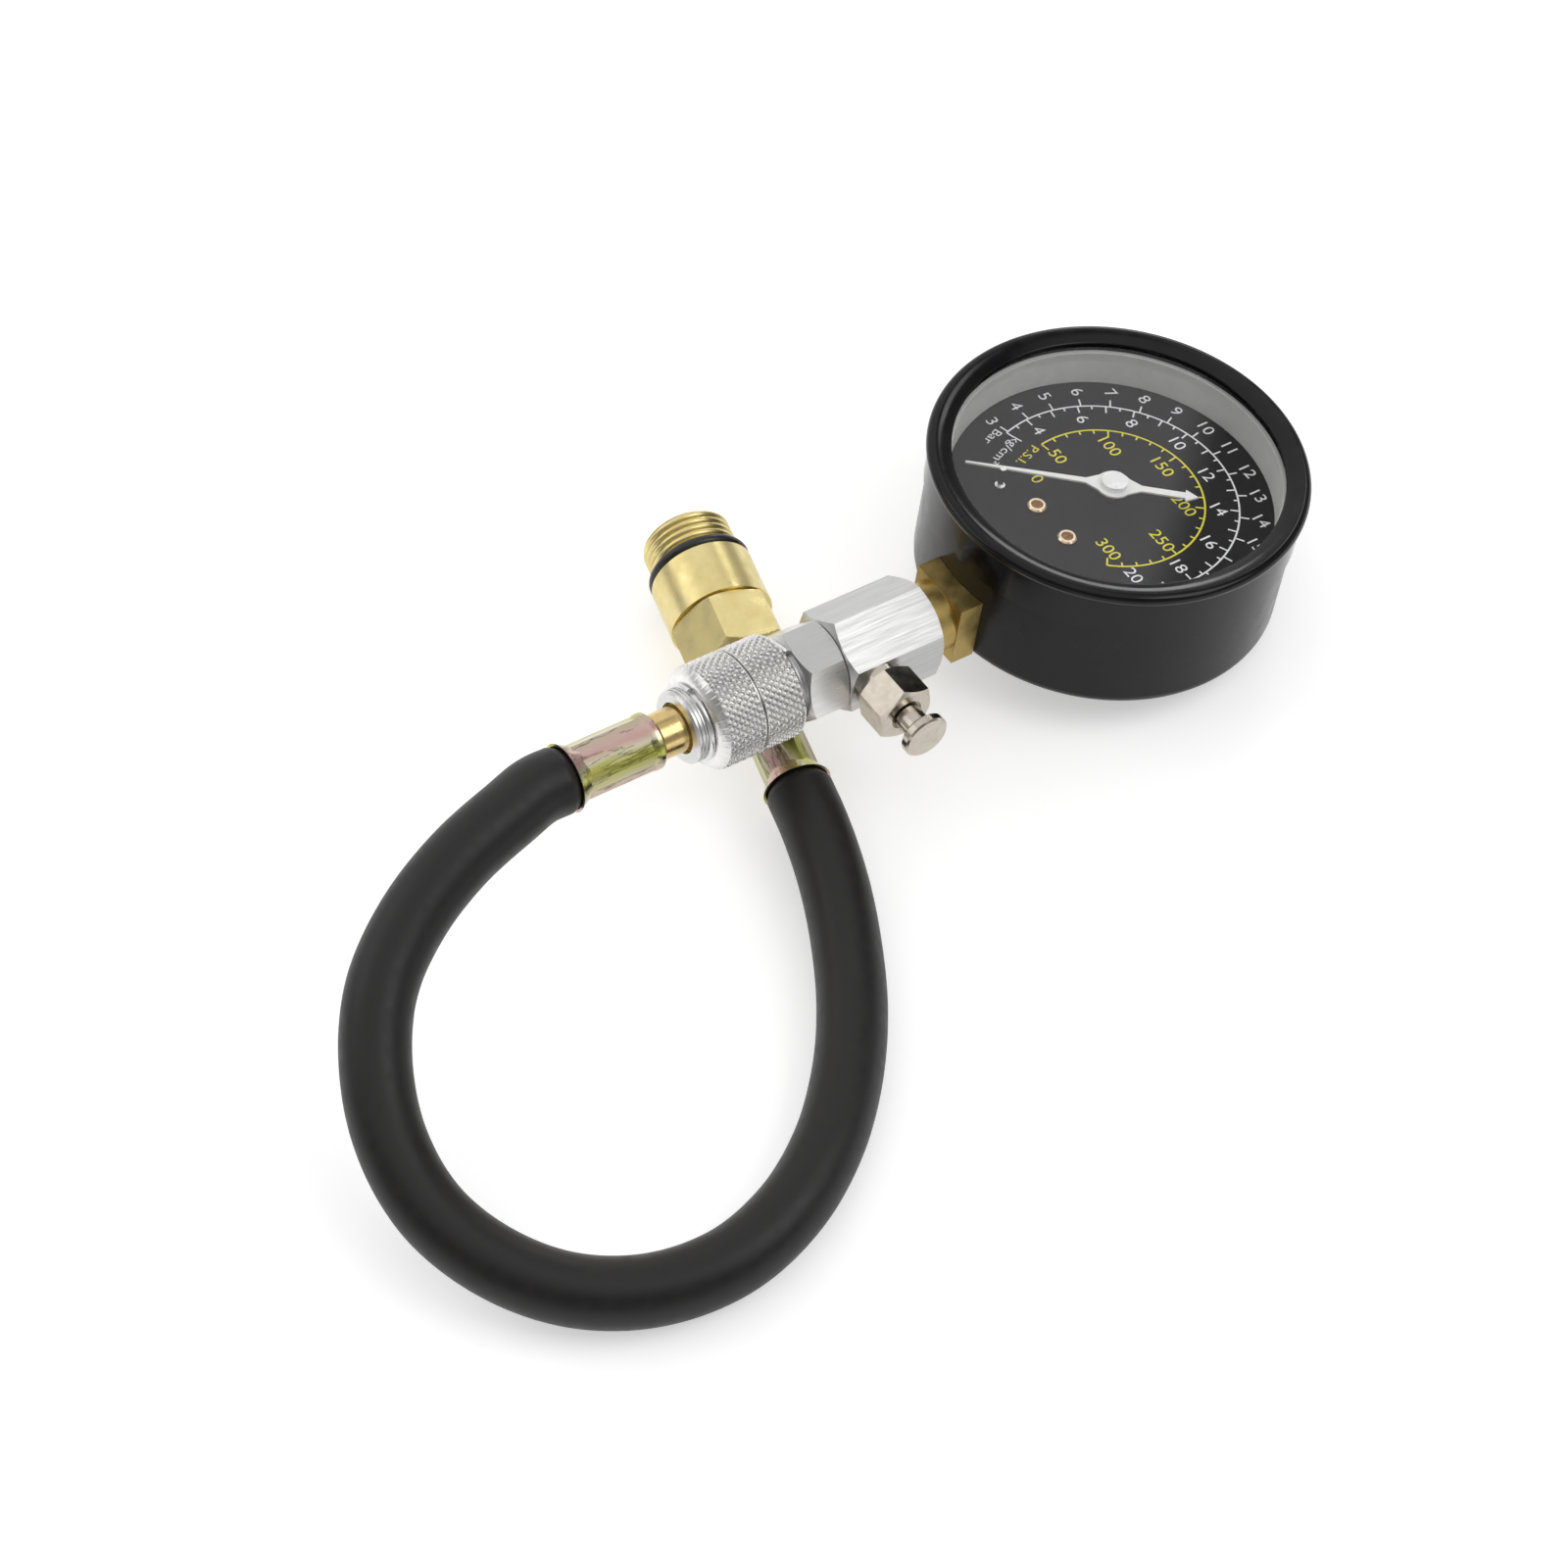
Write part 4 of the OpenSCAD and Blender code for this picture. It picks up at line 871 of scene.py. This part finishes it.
@dataclass
class Sleeve:
    """The coupler's sliding sleeve, with its diamond knurl and a seam in a plain band."""

    radius: float = 10.35 * MM
    start: float = 77.0 * MM
    length: float = 18.5 * MM
    taper: float = 1.6 * MM
    front: float = 8.65 * MM
    edge: float = 0.4 * MM
    room: float = 8.95 * MM
    bore: float = 7.3 * MM
    land: float = 86.9 * MM
    recess: float = 90.9 * MM
    recess_length: float = 3.4 * MM
    recess_radius: float = 8.7 * MM
    seam: float = 0.48
    band: float = 0.9 * MM
    band_depth: float = 0.1 * MM
    seam_width: float = 0.35 * MM
    seam_depth: float = 0.6 * MM
    diamonds: int = 42
    pitch: float = 1.65 * MM
    depth: float = 0.5 * MM
    groove_share: float = 0.33
    end_share: float = 0.4
    rows: int = 130
    columns: int = 624
    sharp: float = 50.0

    def vee(self, phase: np.ndarray) -> np.ndarray:
        """Gives 1 in the middle of a groove, falling evenly to 0 at its share of the pitch."""
        off = np.abs((phase % 1.0) - 0.5)
        return np.clip(1.0 - (0.5 - off) / self.groove_share, 0.0, 1.0)

    def knurl(self, stations: np.ndarray, angles: np.ndarray) -> np.ndarray:
        """Gives the knurl's depth: two sets of V grooves cross, and the deeper one counts.

        Args:
            stations: Stations along the stem.
            angles: Angles round it.

        Returns:
            Depth below the outer radius as (rows, columns).
        """
        turn = angles[None, :] * self.diamonds / (2 * np.pi)
        rise = stations[:, None] / self.pitch
        return self.depth * np.maximum(self.vee(turn + rise), self.vee(turn - rise))

    def build(self, layout: Layout, material: Material) -> Piece:
        """Turns the outside with its knurl and the plain inside, joined at both ends.

        Args:
            layout: The part's frames.
            material: The sleeve's finish.

        Returns:
            The sleeve.
        """
        angles = full_turn(self.columns)
        end = self.start + self.length
        outer = np.linspace(self.start + self.edge, end - self.taper, self.rows)
        from_seam = np.abs(outer - (self.start + self.seam * self.length))
        body = self.radius - self.knurl(outer, angles)
        body[from_seam < self.band / 2] = self.radius - self.band_depth
        body[from_seam < self.seam_width / 2] = self.radius - self.seam_depth
        body[0] = body[-1] = self.radius - self.depth * self.end_share
        recess_to = self.recess + self.recess_length
        inner = np.array([
            [end, self.front], [end, self.bore], [recess_to, self.bore], [recess_to, self.recess_radius],
            [self.recess, self.recess_radius], [self.recess, self.bore], [self.land, self.bore],
            [self.land, self.room], [self.start, self.room], [self.start, self.radius - self.edge]])
        stations = np.concatenate([outer, inner[:, 0]])
        radii = np.concatenate([body, np.repeat(inner[:, 1:], self.columns, axis=1)])
        points = lathe(layout.stem, stations, radii, angles)
        # Painted shade: each outer row's depth below the outer radius, 0 to 1, darkens the knurl's grooves,
        # the seam and the ends.
        groove_shade_depths = np.zeros(radii.shape)
        groove_shade_depths[:len(outer)] = np.clip((self.radius - body) / self.depth, 0.0, 1.0)
        piece = make_piece("knurled_sleeve", points, grid_faces(points, round_rows=True), material,
                           "coupler_sleeve", sharp=self.sharp, groove=groove_shade_depths)
        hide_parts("coupler_sleeve")
        return piece


@dataclass
class Adapter:
    """The brass adapter: neck, hexagon, round body and spark plug thread."""

    neck_radius: float = 4.5 * MM
    neck_from: float = 18.0 * MM
    shoulder: float = 1.2 * MM
    hexagon_from: float = 29.0 * MM
    hexagon_length: float = 12.0 * MM
    flats: float = 19.0 * MM
    turn: float = 14.5
    chamfer: float = 30.0
    chamfer_reach: float = 1.4 * MM
    chamfer_rows: int = 12
    body_radius: float = 10.3 * MM
    body_length: float = 11.7 * MM
    edge: float = 0.3 * MM
    cord: float = 1.15 * MM
    play: float = 0.05 * MM
    thread_radius: float = 9.0 * MM
    thread_length: float = 7.2 * MM
    thread_rows: int = 120
    bevel: float = 0.8 * MM
    pitch: float = 1.5 * MM
    depth: float = 0.75 * MM
    pocket: float = 3.2 * MM
    pocket_depth: float = 15.0 * MM
    bore: float = 2.0 * MM
    columns: int = 240
    sharp: float = 28.0

    def thread_from(self) -> float:
        """Gives the station where the thread begins."""
        return self.hexagon_from + self.hexagon_length + self.body_length + 2 * self.cord + self.play

    def mount_station(self) -> float:
        """Gives the station of the thread's mount, the middle of its full part."""
        return self.thread_from() + (self.thread_length - self.bevel) / 2

    def hexagon(self, stations: np.ndarray, angles: np.ndarray) -> np.ndarray:
        """Gives the hexagon's radius: the flats, cut at both ends by cones.

        Args:
            stations: Stations along the adapter.
            angles: Angles round it.

        Returns:
            Radii as (rows, columns).
        """
        third = np.pi / 3
        flat = self.flats / 2 / np.cos((angles - math.radians(self.turn)) % third - third / 2)
        near = np.minimum(stations - self.hexagon_from, self.hexagon_from + self.hexagon_length - stations)
        cone = self.flats / 2 - self.edge + near / math.tan(math.radians(self.chamfer))
        return np.minimum(flat[None, :], cone[:, None])

    def thread(self, stations: np.ndarray, angles: np.ndarray) -> np.ndarray:
        """Gives the thread's radius: a rounded ridge that climbs one pitch each turn, run out at both ends.

        Args:
            stations: Stations along the adapter.
            angles: Angles round it.

        Returns:
            Radii as (rows, columns).
        """
        start, end = self.thread_from(), self.thread_from() + self.thread_length
        phase = stations[:, None] / self.pitch - angles[None, :] / (2 * np.pi)
        ridge = np.sqrt(np.abs(np.cos(np.pi * phase)))
        crest = self.thread_radius - self.depth * (1.0 - ridge)
        cone = self.thread_radius - np.clip(stations - (end - self.bevel), 0.0, None)
        runout = self.thread_radius - self.edge + np.clip(stations - start, 0.0, None)
        return np.minimum(crest, np.minimum(cone, runout)[:, None])

    def ring(self, station: float, radius: float) -> tuple[np.ndarray, np.ndarray]:
        """Gives one plain ring of the profile."""
        return np.array([station]), np.full((1, self.columns), radius)

    def build(self, layout: Layout, material: Material) -> Piece:
        """Joins the sections into one turned surface, closed through its bore.

        Args:
            layout: The part's frames.
            material: The brass.

        Returns:
            The adapter.
        """
        angles = math.radians(self.turn) + full_turn(self.columns)
        hexagon_to = self.hexagon_from + self.hexagon_length
        body_to = hexagon_to + self.body_length
        seat = self.body_radius - 2 * self.cord - self.play
        thread_from, end = self.thread_from(), self.thread_from() + self.thread_length
        pocket_to = end - self.pocket_depth
        rise = np.linspace(0.0, self.chamfer_reach, self.chamfer_rows)
        rows = np.concatenate([self.hexagon_from + rise, hexagon_to - rise[::-1]])
        turns = np.linspace(thread_from, end, self.thread_rows)
        ring = self.ring
        sections = [
            ring(self.neck_from, self.neck_radius), ring(self.hexagon_from - self.shoulder, self.neck_radius),
            ring(self.hexagon_from, self.flats / 2 - self.shoulder), (rows, self.hexagon(rows, angles)),
            ring(hexagon_to + self.play, self.body_radius), ring(body_to - self.edge, self.body_radius),
            ring(body_to, self.body_radius - self.edge), ring(body_to, seat), ring(thread_from, seat),
            (turns, self.thread(turns, angles)), ring(end, self.pocket), ring(pocket_to, self.pocket),
            ring(pocket_to, self.bore), ring(self.neck_from, self.bore)]
        stations = np.concatenate([station for station, _ in sections])
        radii = np.concatenate([radius for _, radius in sections])
        points = lathe(layout.adapter, stations, radii, angles)
        # Painted shade: the depth of each thread row below the crest, 0 to 1, darkens the thread's roots.
        threaded = (stations > thread_from) & (stations < end)
        groove_shade_depths = np.clip((self.thread_radius - radii) / self.depth, 0.0, 1.0) * threaded[:, None]
        piece = make_piece("threaded_adapter", points, grid_faces(points, round_rows=True), material,
                           "hose_line", sharp=self.sharp, groove=groove_shade_depths)
        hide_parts("adapter")
        return piece


@dataclass
class Bezel:
    """The black bezel: a skirt over the case, a rolled rim, and a front ring that dips to the window."""

    skirt_from: float = 20.5 * MM
    inside: float = 35.75 * MM
    wall: float = 0.5 * MM
    rim_centre: float = 35.7 * MM
    rim_height: float = 29.6 * MM
    rim: float = 1.3 * MM
    rim_rows: int = 24
    ring_to: float = 32.4 * MM
    ring_rows: int = 12
    dip: float = 0.65 * MM
    bead: float = 0.42 * MM
    bead_rows: int = 8
    edge: float = 0.15 * MM
    glass: float = 29.62 * MM
    columns: int = 240

    def profile(self) -> np.ndarray:
        """Gives the section: up the skirt, round the rim, down a parabola, round the bead, back inside.

        Returns:
            Station and radius of each point.
        """
        outside = self.inside + self.wall
        foot = [[self.skirt_from, outside - self.edge], [self.skirt_from + self.edge, outside]]
        turn = np.linspace(-math.acos((outside - self.rim_centre) / self.rim), np.pi / 2, self.rim_rows)
        centre = np.array([self.rim_height, self.rim_centre])
        roll = centre + self.rim * np.column_stack([np.sin(turn), np.cos(turn)])
        share = np.linspace(0.0, 1.0, self.ring_rows + 1)[1:]
        width, top = self.rim_centre - self.ring_to, self.rim_height + self.rim
        ring = np.column_stack([top - self.dip * share ** 2, self.rim_centre - width * share])
        lean = np.pi / 2 + math.atan(2 * self.dip / width)
        turn = np.linspace(lean, np.pi, self.bead_rows + 1)[1:]
        from_lean = np.column_stack([np.sin(turn) - math.sin(lean), np.cos(turn) - math.cos(lean)])
        bead = ring[-1] + self.bead * from_lean
        back = [[self.glass, bead[-1, 1]], [self.glass, self.inside - 2 * self.edge],
                [self.glass - 2 * self.edge, self.inside], [self.skirt_from, self.inside]]
        return np.concatenate([foot, roll, ring, bead, back])

    def build(self, layout: Layout, material: Material) -> Piece:
        """Turns the section about the gauge's axis.

        Args:
            layout: The part's frames.
            material: The enamel.

        Returns:
            The bezel.
        """
        section = self.profile()
        points = lathe(layout.gauge, section[:, 0], section[:, 1], full_turn(self.columns))
        faces = grid_faces(points, round_rows=True)
        piece = make_piece("rolled_bezel", points, faces, material, "gauge")
        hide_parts("bezel")
        return piece


@dataclass
class Spring:
    """A round-wire spring, built at its free length, for the piece that it pushes.

    Args:
        axes: The frame whose z it stands on.
        node: The node that it stands for.
        body: The body that holds its fixed end.
        joint: The joint that shortens it in the part; not used.
        stroke: How much shorter the joint makes it; not used.
        start: Station of the fixed end.
        end: Station of the free end.
        radius: Mean radius of the coil.
        wire: Radius of the wire.
        turns: Number of turns.
        steps: Rows in each turn.
        sides: Corners round the wire.
    """

    axes: Axes
    node: str
    body: str
    joint: str
    stroke: float
    start: float
    end: float
    radius: float
    wire: float
    turns: int = 5
    steps: int = 24
    sides: int = 10

    @classmethod
    def fitted(cls, layout: Layout) -> list[Spring]:
        """Lists the springs of relief valve, coupler and check valve.

        Args:
            layout: The part's frames.

        Returns:
            The springs.
        """
        return [
            cls(layout.relief, "relief_spring", "gauge", "relief_press", stroke=2.4 * MM,
                start=8.0 * MM, end=14.45 * MM, radius=2.2 * MM, wire=0.25 * MM),
            cls(layout.stem, "coupler_spring", "gauge", "sleeve_pull", stroke=1.8 * MM,
                start=75.0 * MM, end=86.9 * MM, radius=8.15 * MM, wire=0.5 * MM, turns=4),
            cls(layout.adapter, "check_valve_spring", "hose_line", "check_valve_press", stroke=1.2 * MM,
                start=53.75 * MM, end=58.4 * MM, radius=1.0 * MM, wire=0.15 * MM)]

    def build(self, material: Material) -> Piece:
        """Carries a circle along a helix, in planes through the axis, down to a point at both ends.

        Args:
            material: The steel.

        Returns:
            The spring.
        """
        axes = self.axes
        share = np.linspace(0.0, 1.0, self.turns * self.steps + 1)
        share = np.concatenate([share[:1], share, share[-1:]])[:, None]
        thick = np.full(share.shape, self.wire)
        thick[[0, -1]] = 0.0
        around = full_turn(self.sides)[None, :]
        turn = 2 * np.pi * self.turns * share
        reach = self.radius + thick * np.cos(around)
        middle = self.start + self.wire + (self.end - self.start - 2 * self.wire) * share
        climb = middle + thick * np.sin(around)
        points = axes.place(np.stack([reach * np.cos(turn), reach * np.sin(turn), climb], axis=-1))
        faces = grid_faces(points)[:, ::-1]
        piece = make_piece(f"{self.node}_coil", points, faces, material, self.body)
        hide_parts(self.node)
        tuple(axes.z)
        tuple(axes.on_axis(self.start))
        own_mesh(piece)
        return piece


@dataclass
class BourdonTube:
    """The oval tube bent to an open circle: a fixed stretch from the block, and an end that gives way."""

    radius: float = 25.0 * MM
    width: float = 3.0 * MM
    height: float = 6.6 * MM
    wall: float = 0.5 * MM
    level: float = 7.0 * MM
    tip: float = 245.0
    give: float = 305.0
    block: float = 523.7
    step: float = 3.0
    sides: int = 28

    def shell(self, axes: Axes, turns: np.ndarray, inset: float) -> np.ndarray:
        """Carries an oval along the circle: two half circles that a straight piece keeps apart.

        Args:
            axes: The gauge's frame.
            turns: Angles along the circle, in degrees.
            inset: How far inside the tube's outer wall the surface lies.

        Returns:
            Points as (rows, columns, 3).
        """
        around = full_turn(self.sides)[None, :]
        half = self.width / 2 - inset
        turn = np.radians(turns)[:, None]
        reach = self.radius + half * np.cos(around)
        apart = np.sign(np.sin(around)) * (self.height - self.width) / 2
        rise = np.broadcast_to(self.level + half * np.sin(around) + apart, (len(turns), self.sides))
        return axes.place(np.stack([reach * np.cos(turn), reach * np.sin(turn), rise], axis=-1))

    def stretch(self, axes: Axes, name: str, start: float, stop: float, material: Material,
                body: str | None) -> Piece:
        """Makes one stretch of tube, its outer and inner wall joined at both ends.

        Args:
            axes: The gauge's frame.
            name: The piece's name.
            start: First angle, in degrees.
            stop: Last angle, in degrees.
            material: The brass.
            body: The body that it rides on, or None.

        Returns:
            The stretch.
        """
        turns = np.linspace(start, stop, round((stop - start) / self.step) + 1)
        points = np.concatenate([self.shell(axes, turns, 0.0), self.shell(axes, turns[::-1], self.wall)])
        faces = grid_faces(points, round_rows=True)[:, ::-1]
        piece = make_piece(name, points, faces, material, body)
        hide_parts("bourdon_tube")
        return piece

    def build(self, layout: Layout, material: Material) -> list[Piece]:
        """Makes both stretches: the fixed one rides on the gauge, and the end on no body.

        Args:
            layout: The part's frames.
            material: The brass.

        Returns:
            The two pieces.
        """
        axes = layout.gauge
        fixed = self.stretch(axes, "bourdon_tube_fixed", self.give, self.block, material, "gauge")
        end = self.stretch(axes, "bourdon_tube_end", self.tip, self.give, material, None)
        turn = np.radians([self.give, self.tip])
        flat = self.radius * np.column_stack([np.cos(turn), np.sin(turn)])
        middle = axes.place(np.column_stack([flat, np.full(2, self.level)]))
        tuple(middle[0])
        tuple(middle[1])
        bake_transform(end)
        return [fixed, end]


@dataclass
class Wardrobe:
    """All finishes of the part, and the nodes that wear another than their slot's."""

    layout: Layout
    made: dict[str, Material] = field(default_factory=dict)
    special: dict[str, str] = field(default_factory=lambda: {
        "ferrule_adapter_end": "yellow_zinc_far", "snap_ring": "bright_steel", "dial_screws": "rivet_brass"})

    def paints(self) -> dict[str, Finish | ClearGlass]:
        """Lists the finishes of paint, rubber, plastic and glass.

        Returns:
            Finish by slot name.
        """
        return {
            "case_enamel": Finish(
                "case enamel", (0.0045, 0.0045, 0.0055), (0.008, 0.008, 0.0095),
                roughness=0.24, spread=0.05, scale=260.0, gloss=0.24),
            "bezel_enamel": Finish(
                "bezel enamel", (0.004, 0.004, 0.0048), (0.007, 0.007, 0.008),
                roughness=0.13, spread=0.04, scale=240.0, gloss=0.25),
            "window_glass": ClearGlass(),
            "gasket_rubber": Finish("gasket rubber", (0.02, 0.02, 0.02), (0.03, 0.03, 0.03), roughness=0.7),
            "spacer_grey": Finish(
                "spacer plastic", (0.74, 0.75, 0.73), (0.80, 0.81, 0.79), roughness=0.6, scale=400.0),
            "dial_charcoal": Finish(
                "dial paint", (0.0055, 0.0055, 0.0065), (0.0065, 0.0065, 0.0075),
                roughness=0.6, scale=700.0, gloss=0.08),
            "needle_white": Finish("needle paint", (0.90, 0.90, 0.88), (0.93, 0.93, 0.91), roughness=0.45),
            "seal_rubber": Finish(
                "seal rubber", (0.012, 0.011, 0.011), (0.02, 0.018, 0.016), roughness=0.35, scale=700.0),
            "hose_rubber": Finish(
                "hose rubber", (0.0075, 0.0062, 0.0060), (0.012, 0.0105, 0.0100),
                roughness=0.46, spread=0.06, scale=420.0, bump=0.004 * MM, gloss=0.4),
        }

    def metals(self) -> dict[str, Finish]:
        """Lists the finishes of bare and plated metal.

        Returns:
            Finish by slot name.
        """
        stem, adapter = self.layout.stem, self.layout.adapter
        # Yellow zinc of the ferrules: film tints with a painted highlight band, and painted shade in thin
        # lines where they are crimped.
        zinc = ZincPlate(
            "yellow zinc", (0.58, 0.42, 0.38), (0.42, 0.42, 0.08),
            roughness=0.24, spread=0.06, scale=500.0, grain=Grain.STREAKED, axes=stem)
        return {
            "bright_steel": Metal(
                "bright steel", (0.74, 0.74, 0.74), (0.79, 0.79, 0.79), roughness=0.26, spread=0.03),
            "dark_steel": Metal("black steel", (0.03, 0.03, 0.032), (0.06, 0.06, 0.062)),
            "movement_brass": Metal(
                "movement brass", (0.74, 0.52, 0.20), (0.66, 0.44, 0.15), roughness=0.32, scale=500.0),
            # Dial screws: bright brass with painted shade in the dimple and round the foot.
            "rivet_brass": RivetBrass(
                "rivet brass", (0.98, 0.80, 0.56), (0.90, 0.68, 0.42),
                roughness=0.2, spread=0.05, scale=500.0, axes=self.layout.gauge),
            "aged_brass": Metal(
                "aged brass", (0.42, 0.30, 0.10), (0.56, 0.42, 0.16),
                roughness=0.42, spread=0.14, scale=220.0, bump=0.02 * MM),
            "bright_brass": Metal(
                "turned brass", (0.74, 0.56, 0.25), (0.67, 0.49, 0.21),
                roughness=0.22, spread=0.08, scale=900.0),
            # groove: painted shade in the thread's roots.
            "adapter_brass": Metal(
                "adapter brass", (0.80, 0.68, 0.33), (0.72, 0.59, 0.26), roughness=0.32, spread=0.08,
                scale=260.0, bump=0.0015 * MM, axes=adapter, groove=(0.60, 0.48, 0.19)),
            "valve_aluminium": Metal(
                "valve aluminium", (0.57, 0.57, 0.56), (0.50, 0.50, 0.49), roughness=0.36, spread=0.08,
                scale=2600.0, grain=Grain.BRUSHED, bump=0.006 * MM, axes=stem),
            "coupler_aluminium": Metal(
                "coupler aluminium", (0.74, 0.74, 0.73), (0.66, 0.66, 0.65), roughness=0.34, spread=0.08,
                scale=2600.0, grain=Grain.BRUSHED, bump=0.005 * MM, axes=stem),
            # groove: painted shade in the knurl's grooves, seam and ends.
            "sleeve_aluminium": Metal(
                "sleeve aluminium", (0.88, 0.87, 0.85), (0.82, 0.81, 0.79),
                roughness=0.28, spread=0.06, scale=700.0, groove=(0.54, 0.53, 0.52)),
            "nickel_plate": Metal(
                "nickel plate", (0.56, 0.51, 0.44), (0.50, 0.45, 0.38),
                roughness=0.2, spread=0.06, scale=500.0),
            "yellow_zinc": zinc,
            "yellow_zinc_far": replace(zinc, name="yellow zinc, far ferrule", axes=adapter),
        }

    def make(self) -> None:
        """Builds every finish."""
        finishes = {**self.paints(), **self.metals()}
        self.made = {slot: finish.build() for slot, finish in finishes.items()}

    def inks(self) -> dict[Ink, Material]:
        """Builds the two printing inks.

        Returns:
            Material of each ink.
        """
        white = Finish("white ink", (0.90, 0.90, 0.91), (0.82, 0.82, 0.83), roughness=0.6, scale=900.0)
        yellow = Finish("yellow ink", (0.86, 0.78, 0.03), (0.78, 0.70, 0.03), roughness=0.6, scale=900.0)
        return {Ink.WHITE: white.build(), Ink.YELLOW: yellow.build()}

    def dress(self, frame: dict[str, Any]) -> None:
        """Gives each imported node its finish.
        """
        for subpart in frame["record"]["subparts"]:
            node = frame["nodes"][subpart["node"]]
            node.data.materials.clear()
            node.data.materials.append(self.made[self.special.get(subpart["node"], subpart["material_slot"])])


@dataclass(frozen=True)
class Lamp:
    """A square soft lamp that looks at the part.

    Args:
        name: Its name.
        at: Its place.
        size: Its side.
        watts: Its power.
    """

    name: str
    at: Place
    size: float
    watts: float

    def hang(self) -> None:
        """Puts the lamp into the scene."""
        data = bpy.data.lights.new(self.name, "AREA")
        data.size, data.energy = self.size, self.watts
        lamp = bpy.data.objects.new(self.name, data)
        lamp.location = self.at
        lamp.rotation_euler = (-Vector(self.at)).to_track_quat("-Z", "Y").to_euler()
        bpy.context.scene.collection.objects.link(lamp)


@dataclass
class Studio:
    """Camera, floor and light."""

    eye: Place = (-0.2910, -0.38885, 0.6369)
    forward: Place = (0.3102, 0.4918, -0.8134)
    upward: Place = (0.4746, 0.6613, 0.5806)
    lens: float = 94.5
    sensor: float = 36.0
    clip: tuple[float, float] = (0.01, 50.0)
    overhead: Place = (0.0, 0.0, 1.0)
    ceiling: tuple[tuple[float, float], ...] = (
        (0.0, 0.45), (0.4, 0.28), (0.72, 0.18), (0.84, 0.85), (1.0, 1.0))
    panel_way: Place = (0.089, 0.625, 0.396)
    panel: tuple[tuple[float, float], ...] = ((0.0, 0.0), (0.5885, 0.0), (0.5925, 0.92), (1.0, 1.0))
    floor_half: float = 3.0
    floor_tone: Colour = (0.82, 0.82, 0.82)
    floor_roughness: float = 0.9
    floor_glow: float = 0.46
    lamps: tuple[Lamp, ...] = (
        Lamp("key lamp", (0.5, -0.6, 0.9), 0.7, 3.4), Lamp("rim lamp", (-0.65, 0.55, 0.6), 0.6, 1.3),
        Lamp("glint lamp", (0.75, 0.62, 0.42), 0.2, 0.7), Lamp("far lamp", (1.4, 0.72, 1.15), 0.25, 0.7))

    def camera(self) -> None:
        """Sets the camera where the photograph was taken from."""
        data = bpy.data.cameras.new("camera")
        data.lens, data.sensor_width, data.sensor_fit = self.lens, self.sensor, "HORIZONTAL"
        data.clip_start, data.clip_end = self.clip
        forward, up = Vector(self.forward).normalized(), Vector(self.upward)
        right = forward.cross(up).normalized()
        up = right.cross(forward)
        camera = bpy.data.objects.new("camera", data)
        turn = Matrix((right, up, -forward)).transposed().to_4x4()
        camera.matrix_world = Matrix.Translation(Vector(self.eye)) @ turn
        bpy.context.scene.collection.objects.link(camera)
        bpy.context.scene.camera = camera

    def floor(self) -> None:
        """Lays a pale floor that keeps the soft shadow, and glows where it is seen or mirrored."""
        half = self.floor_half
        mesh = bpy.data.meshes.new("floor")
        corners = [(-half, -half, 0.0), (half, -half, 0.0), (half, half, 0.0), (-half, half, 0.0)]
        mesh.from_pydata(corners, [], [(0, 1, 2, 3)])
        floor = bpy.data.objects.new("floor", mesh)
        bpy.context.scene.collection.objects.link(floor)
        material, graph, shader = new_material("pale floor")
        path = graph.add("LightPath").outputs
        mirrored = graph.math("MAXIMUM", path["Is Camera Ray"], path["Is Glossy Ray"])
        seen = graph.math("MAXIMUM", mirrored, path["Is Transmission Ray"])
        graph.feed(shader, {
            "Base Color": (*self.floor_tone, 1.0), "Roughness": self.floor_roughness,
            "Emission Color": (1.0, 1.0, 1.0, 1.0),
            "Emission Strength": graph.math("MULTIPLY", seen, self.floor_glow)})
        mesh.materials.append(material)

    def world(self) -> None:
        """Lights all round: white to the camera, and for the rest a ceiling and a panel over dim walls."""
        world = bpy.data.worlds.new("studio")
        world.use_nodes = True
        bpy.context.scene.world = world
        graph = Graph(world.node_tree)
        coords = graph.add("TexCoord").outputs["Generated"]
        light = graph.add("LightPath").outputs["Is Camera Ray"]
        for way, stops in ((self.overhead, self.ceiling), (self.panel_way, self.panel)):
            reach = graph.add("VectorMath", {0: coords, 1: way}, operation="DOT_PRODUCT").outputs["Value"]
            light = graph.math("MAXIMUM", light, graph.grey_ramp(reach, stops))
        graph.feed(world.node_tree.nodes["Background"], {"Color": light, "Strength": 1.0})

    def build(self) -> None:
        """Sets up camera, floor and light."""
        bpy.context.scene.view_settings.view_transform = "Standard"
        self.camera()
        self.floor()
        self.world()
        for lamp in self.lamps:
            lamp.hang()


def main() -> None:
    """Builds the studio, dresses the nodes and adds the modelled pieces, in order."""
    logging.basicConfig(level=logging.INFO, format="%(name)s: %(message)s")
    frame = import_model()
    layout = Layout.from_frame(frame)
    Studio().build()
    wardrobe = Wardrobe(layout)
    wardrobe.make()
    wardrobe.dress(frame)
    made = wardrobe.made
    adapter = Adapter().build(layout, made["adapter_brass"])
    carried = [adapter] + [frame["nodes"][name] for name in ("ferrule_adapter_end", "adapter_seal")]
    pieces = [adapter, Hose().build(layout, made["hose_rubber"], carried),
              Sleeve().build(layout, made["sleeve_aluminium"]), Bezel().build(layout, made["bezel_enamel"]),
              *BourdonTube().build(layout, made["movement_brass"]),
              *DialPrint().build(layout, wardrobe.inks()),
              *(spring.build(made["bright_steel"]) for spring in Spring.fitted(layout))]
    for piece in pieces:
        LOG.info("%s: %d faces", piece.name, len(piece.data.polygons))
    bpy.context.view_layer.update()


if __name__ == "__main__":
    main()
